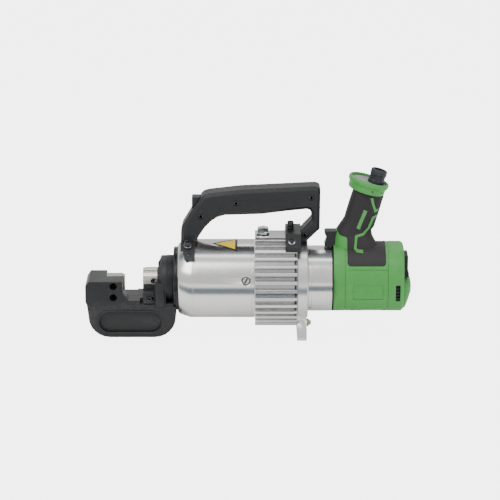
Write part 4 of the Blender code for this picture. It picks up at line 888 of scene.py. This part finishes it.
def buildAccents():
    # green inlays in the rubber, each in a thin dark groove, on both sides
    for name, (width, line) in accents.items():
        path = [gripPoint(across * mm, height * mm) for across, height in line]
        for side, label_ in handed:
            for part, finish, extra, lift in (("Groove", "blackOxide", 1.5 * mm, 0.15 * mm),
                    ("", "greenNylon", 0, housing["accentLift"])):
                near, far = sorted((side * 9 * mm, side * 44 * mm))
                strip = bareMesh(prismForm(ribbonOutline(path, width + extra), near, far), "strip")
                outer = carve(bareMesh(gripForm(-lift), "outer"), barrelForm(-lift), operation="UNION")
                inner = bareMesh(gripForm(1.2 * mm, 8 * mm), "inner")
                combine(strip, outer, "INTERSECT")
                combine(strip, carve(inner, barrelForm(1.2 * mm), operation="UNION"))
                strip.name = name + part + label_
                if strip.data.polygons:
                    dress(strip, finish, None, "root", 35)
    print("accents built")


def buildGripTop():
    softened("trigger", "blackNylon", 0.9 * mm, 3, "triggerLever")
    base = grip["length"] + 0.3 * mm
    top, ledge, seat, outer = base + 17 * mm, base + 11.5 * mm, 24.2 * mm, 28.7 * mm
    centre = grip["foot"] + gripBack * (-4.2 * mm)
    profile = [(base, 22 * mm)] + steps(base, outer, (0, -3.6), (1.5, -3), (8, -2.4), (10.2, -1), (11.5, 0))
    profile += steps(top, outer, (-1.4, 0), (0, -1.4)) + steps(top, seat, (0, 1), (-2, 0))
    profile += [(ledge, seat), (ledge, 22 * mm)]
    turnedPiece("gripRing", profile, "greenNylon", "grip_ring", None, 128, centre, gripUp, 0.8 * mm)
    inletAt = grip["foot"] + gripBack * (5.6 * mm)
    profile = [(ledge + 0.3 * mm, 0)] + steps(ledge, seat, (0.3, -0.3), (1.9, -0.3), (2.3, -0.8))
    profile += [(ledge + 2.3 * mm, 0)]
    plate = bareMesh(turnedForm(profile, 96, centre, gripUp), "ringPlate")
    tubeTop, tube, bore = 106.4 * mm, 11.5 * mm, 8.3 * mm
    room = tube + 0.3 * mm
    carve(plate, turnedForm([(base, 0), (base, room), (top + 2 * mm, room), (top + 2 * mm, 0)], 64, inletAt, gripUp))
    dress(plate, "greyPlate", "ring_plate")
    profile = [(base + 1.5 * mm, 0), (base + 1.5 * mm, tube)] + steps(ledge, tube, (7, 0), (7.6, -0.7))
    profile += steps(tubeTop, tube, (-8, -0.7), (-7.4, 0), (-1, 0), (0, -1))
    profile += [(tubeTop, bore), (base + 5 * mm, bore), (base + 5 * mm, 0)]
    turnedPiece("powerInlet", profile, "inletNylon", "power_inlet", None, 96, inletAt, gripUp, 0.4 * mm)
    # two small vent holes in the ring's band, drawn as black dots of painted shade
    for turn in (-75, -40):
        out = gripBack * math.cos(math.radians(turn)) + toBack * math.sin(math.radians(turn))
        spot = centre + gripUp * (base + 6 * mm) + out * (outer - 2.75 * mm)
        form = bmesh.new()
        bmesh.ops.create_cone(form, cap_ends=True, segments=24, radius1=1.2 * mm, radius2=1.2 * mm, depth=0.8 * mm)
        finishPiece(stood(form, spot, out), f"ventHoleShade{turn + 200}", "printSealAndShadeBlack", None, "root")
    print("grip top built")


# rear bumper and vent louvres
def buildRear():
    softened("rear_bumper", "softRubber", 1.2 * mm, 3, "rearBumper")
    start, end = housing["ventX"][0] + 0.2 * mm, housing["ventX"][1] - 0.2 * mm
    for side, label_ in handed:
        near, far = sorted((side * 32 * mm, side * 35 * mm))
        # a black sheet behind the louvres stands for the shade in the vent: painted shade
        shadeSheet = boxForm((start, near, 56.3 * mm), (end, far, 79.7 * mm))
        finishPiece(shadeSheet, "ventShadeBack" + label_, "printSealAndShadeBlack", None, "root")
        near, far = sorted((side * 30 * mm, side * 38.6 * mm))
        for louvre in range(5):
            z = 58.5 * mm + louvre * 4.7 * mm
            form = boxForm((start, near, z), (end, far, z + 2.2 * mm))
            bmesh.ops.bevel(form, geom=form.edges[:], offset=0.4 * mm, segments=2, profile=0.5, affect="EDGES",
                    material=-1)
            finishPiece(form, f"louvre{label_}{louvre + 1}", "blackNylon", None, "root")
    print("rear built")


# carry handle, clamp, bracket and lamp
handle = {"clampX": -84 * mm, "clampTurn": 28, "seat": 63.1 * mm, "spacerFoot": 150.2 * mm, "tinyTurn": 48.6,
          "slopeSpot": (60.3, 38.7, 142.1), "slopeOut": (0.593, 0.805)}


def buildHandle():
    softened("handle_left", "blackNylon", 1.8 * mm, 4, "handleLeft", 25)
    softened("handle_right", "blackNylon", 1.8 * mm, 4, "handleRight", 25)
    for count in (1, 2, 3, 4):
        node = f"handle_screw_{count}"
        socketScrew(f"handleScrew{count}", "handle", nearSide(node), -toBack, node)
    softened("front_clamp", "blackNylon", 0.7 * mm, 2, "frontClamp", 40)
    seat, foot = handle["seat"], Vector((handle["clampX"], 0, axisZ))
    turn = math.radians(handle["clampTurn"])
    for side, name in ((-1, "left"), (1, "right")):
        out = Vector((0, side * math.sin(turn), math.cos(turn)))
        socketScrew("clampBolt" + name.title(), "clamp", foot + out * (seat + 7.5 * mm), out, "clamp_bolt_" + name)
        washer = steps(seat, 0, (-0.25, 2.9), (-0.25, 5.4), (0.9, 5.4), (0.9, 4.5))
        turnedPiece("clampWasher" + name.title(), washer, "chromePlate", None, "root", 48, foot, out, 0.2 * mm)
    softened("rear_bracket", "forgedSteel", 0.8 * mm, 2, "rearBracket", 35)
    low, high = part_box("bracket_bolt")
    top = Vector(((low.x + high.x) / 2, 0, high.z))
    socketScrew("bracketBolt", "bracket", top, upZ, "bracket_bolt")
    foot, washerZ, hole = Vector((top.x, 0, 0)), high.z - 8.4 * mm, 2.9 * mm
    washer = ringProfile(washerZ, washerZ + 1.2 * mm, hole, 6 * mm)
    turnedPiece("bracketWasher", washer, "blackOxide", None, "root", 48, foot, upZ, 0.25 * mm)
    spacer = ringProfile(handle["spacerFoot"], washerZ, hole, 4.4 * mm)
    turnedPiece("bracketSpacer", spacer, "blackOxide", None, "root", 48, foot, upZ, 0.25 * mm)
    softened("lamp_body", "blackNylon", 0.9 * mm, 3, "lampBody")
    # small screws: one on each end of the clamp, one inclined on the bracket with a bright washer
    turn = math.radians(handle["tinyTurn"])
    washer = steps(0, 0, (-0.2, 2), (-0.2, 4.7), (0.6, 4.7), (0.6, 2))
    for side, name in handed:
        out = Vector((0, side * math.cos(turn), math.sin(turn)))
        top = Vector((-82 * mm, 0, axisZ)) + out * 61.2 * mm
        socketScrew("clampScrew" + name, "tiny", top, out, None, "root")
        (x, y, z), (sideways, upwards) = handle["slopeSpot"], handle["slopeOut"]
        out, spot = Vector((0, side * sideways, upwards)), Vector((x * mm, side * y * mm, z * mm))
        socketScrew("bracketScrew" + name, "slope", spot + out * 2.9 * mm, out, None, "root")
        turnedPiece("slopeWasher" + name, washer, "chromePlate", None, "root", 48, spot, out, 0.2 * mm)
    print("handle built")


# the sweep, the flags, the lights as place, size and power, and the sky as the camera and the rest see it
stage = {
    "floorHalf": 6, "floorGlow": 5.6, "floorShare": 0.86, "skySeen": 4.2, "sky": 0.75, "aim": (0, 0, 0.1),
    "flags": (("flagHigh", (-1.2, -0.06, 0.95), (1.2, 0.4, 0.951)),
        ("flagLow", (-1.2, -0.42, 0.001), (1.2, -0.16, 0.002))),
    "lights": {"keyLight": ((-0.9, -1.3, 1.7), 1.4, 26), "fillLight": ((1.3, -1.2, 0.9), 1.2, 9),
        "topLight": ((0.1, 0.5, 2.0), 1.8, 22)},
}


def buildStage():
    floorForm = bmesh.new()
    bmesh.ops.create_grid(floorForm, x_segments=1, y_segments=1, size=stage["floorHalf"])
    floor = bareMesh(floorForm, "floor")
    paint = bpy.data.materials.new("studioFloor")
    paint.use_nodes = True
    tree = paint.node_tree
    shader = tree.nodes["Principled BSDF"]
    shader.inputs["Base Color"].default_value = (0.93, 0.93, 0.93, 1)
    shader.inputs["Roughness"].default_value = 0.9
    # the camera sees a lit white sweep with only a trace of the shadow
    bright = addNode(tree, "Emission", Strength=stage["floorGlow"])
    blend = addNode(tree, "MixShader")
    cameraRay = addNode(tree, "LightPath").outputs["Is Camera Ray"]
    seen = addMath(tree, "MULTIPLY", cameraRay, stage["floorShare"])
    tree.links.new(seen, blend.inputs["Fac"])
    tree.links.new(shader.outputs[0], blend.inputs[1])
    tree.links.new(bright.outputs[0], blend.inputs[2])
    tree.links.new(blend.outputs[0], tree.nodes["Material Output"].inputs["Surface"])
    floor.data.materials.append(paint)
    # grey flags that only reflections see: the dark bands in polished metal
    grey = bpy.data.materials.new("flagGrey")
    grey.use_nodes = True
    tree = grey.node_tree
    glow = addNode(tree, "Emission", Color=(0.16, 0.21, 0.26, 1), Strength=0.9)
    tree.links.new(glow.outputs[0], tree.nodes["Material Output"].inputs["Surface"])
    for name, low, high in stage["flags"]:
        flag = bareMesh(boxForm(low, high), name)
        flag.data.materials.append(grey)
        flag.visible_camera = False
        flag.visible_diffuse = False
        flag.visible_shadow = False
        flag.visible_transmission = False
    world = bpy.data.worlds.new("studio")
    bpy.context.scene.world = world
    world.use_nodes = True
    world.node_tree.nodes["Background"].inputs["Color"].default_value = (1, 1, 1, 1)
    sky = world.node_tree
    seen = addMath(sky, "MULTIPLY", addNode(sky, "LightPath").outputs["Is Camera Ray"], stage["skySeen"])
    sky.links.new(addMath(sky, "ADD", seen, stage["sky"]), sky.nodes["Background"].inputs["Strength"])
    for name, (place, size, power) in stage["lights"].items():
        lamp = bpy.data.lights.new(name, "AREA")
        lamp.size = size
        lamp.energy = power
        holder = linked(name, lamp)
        holder.location = place
        holder.rotation_euler = (Vector(stage["aim"]) - Vector(place)).to_track_quat("-Z", "Y").to_euler()
    print("stage set")


camera = {"elevation": 16, "distance": 3.5, "target": Vector((2.5 * mm, 0, 119.3 * mm)), "lens": 180}


def buildCamera():
    view = bpy.data.cameras.new("camera")
    view.lens = camera["lens"]
    holder = linked("camera", view)
    rise = math.radians(camera["elevation"])
    holder.location = camera["target"] + Vector((0, -math.cos(rise), math.sin(rise))) * camera["distance"]
    holder.rotation_euler = (camera["target"] - holder.location).to_track_quat("-Z", "Y").to_euler()
    bpy.context.scene.camera = holder
    print("camera placed")


buildCamera()
buildStage()
buildHead()
buildCylinder()
buildLabel()
buildPump()
buildAdaptor()
buildHousing()
buildAccents()
buildGripTop()
buildRear()
buildHandle()
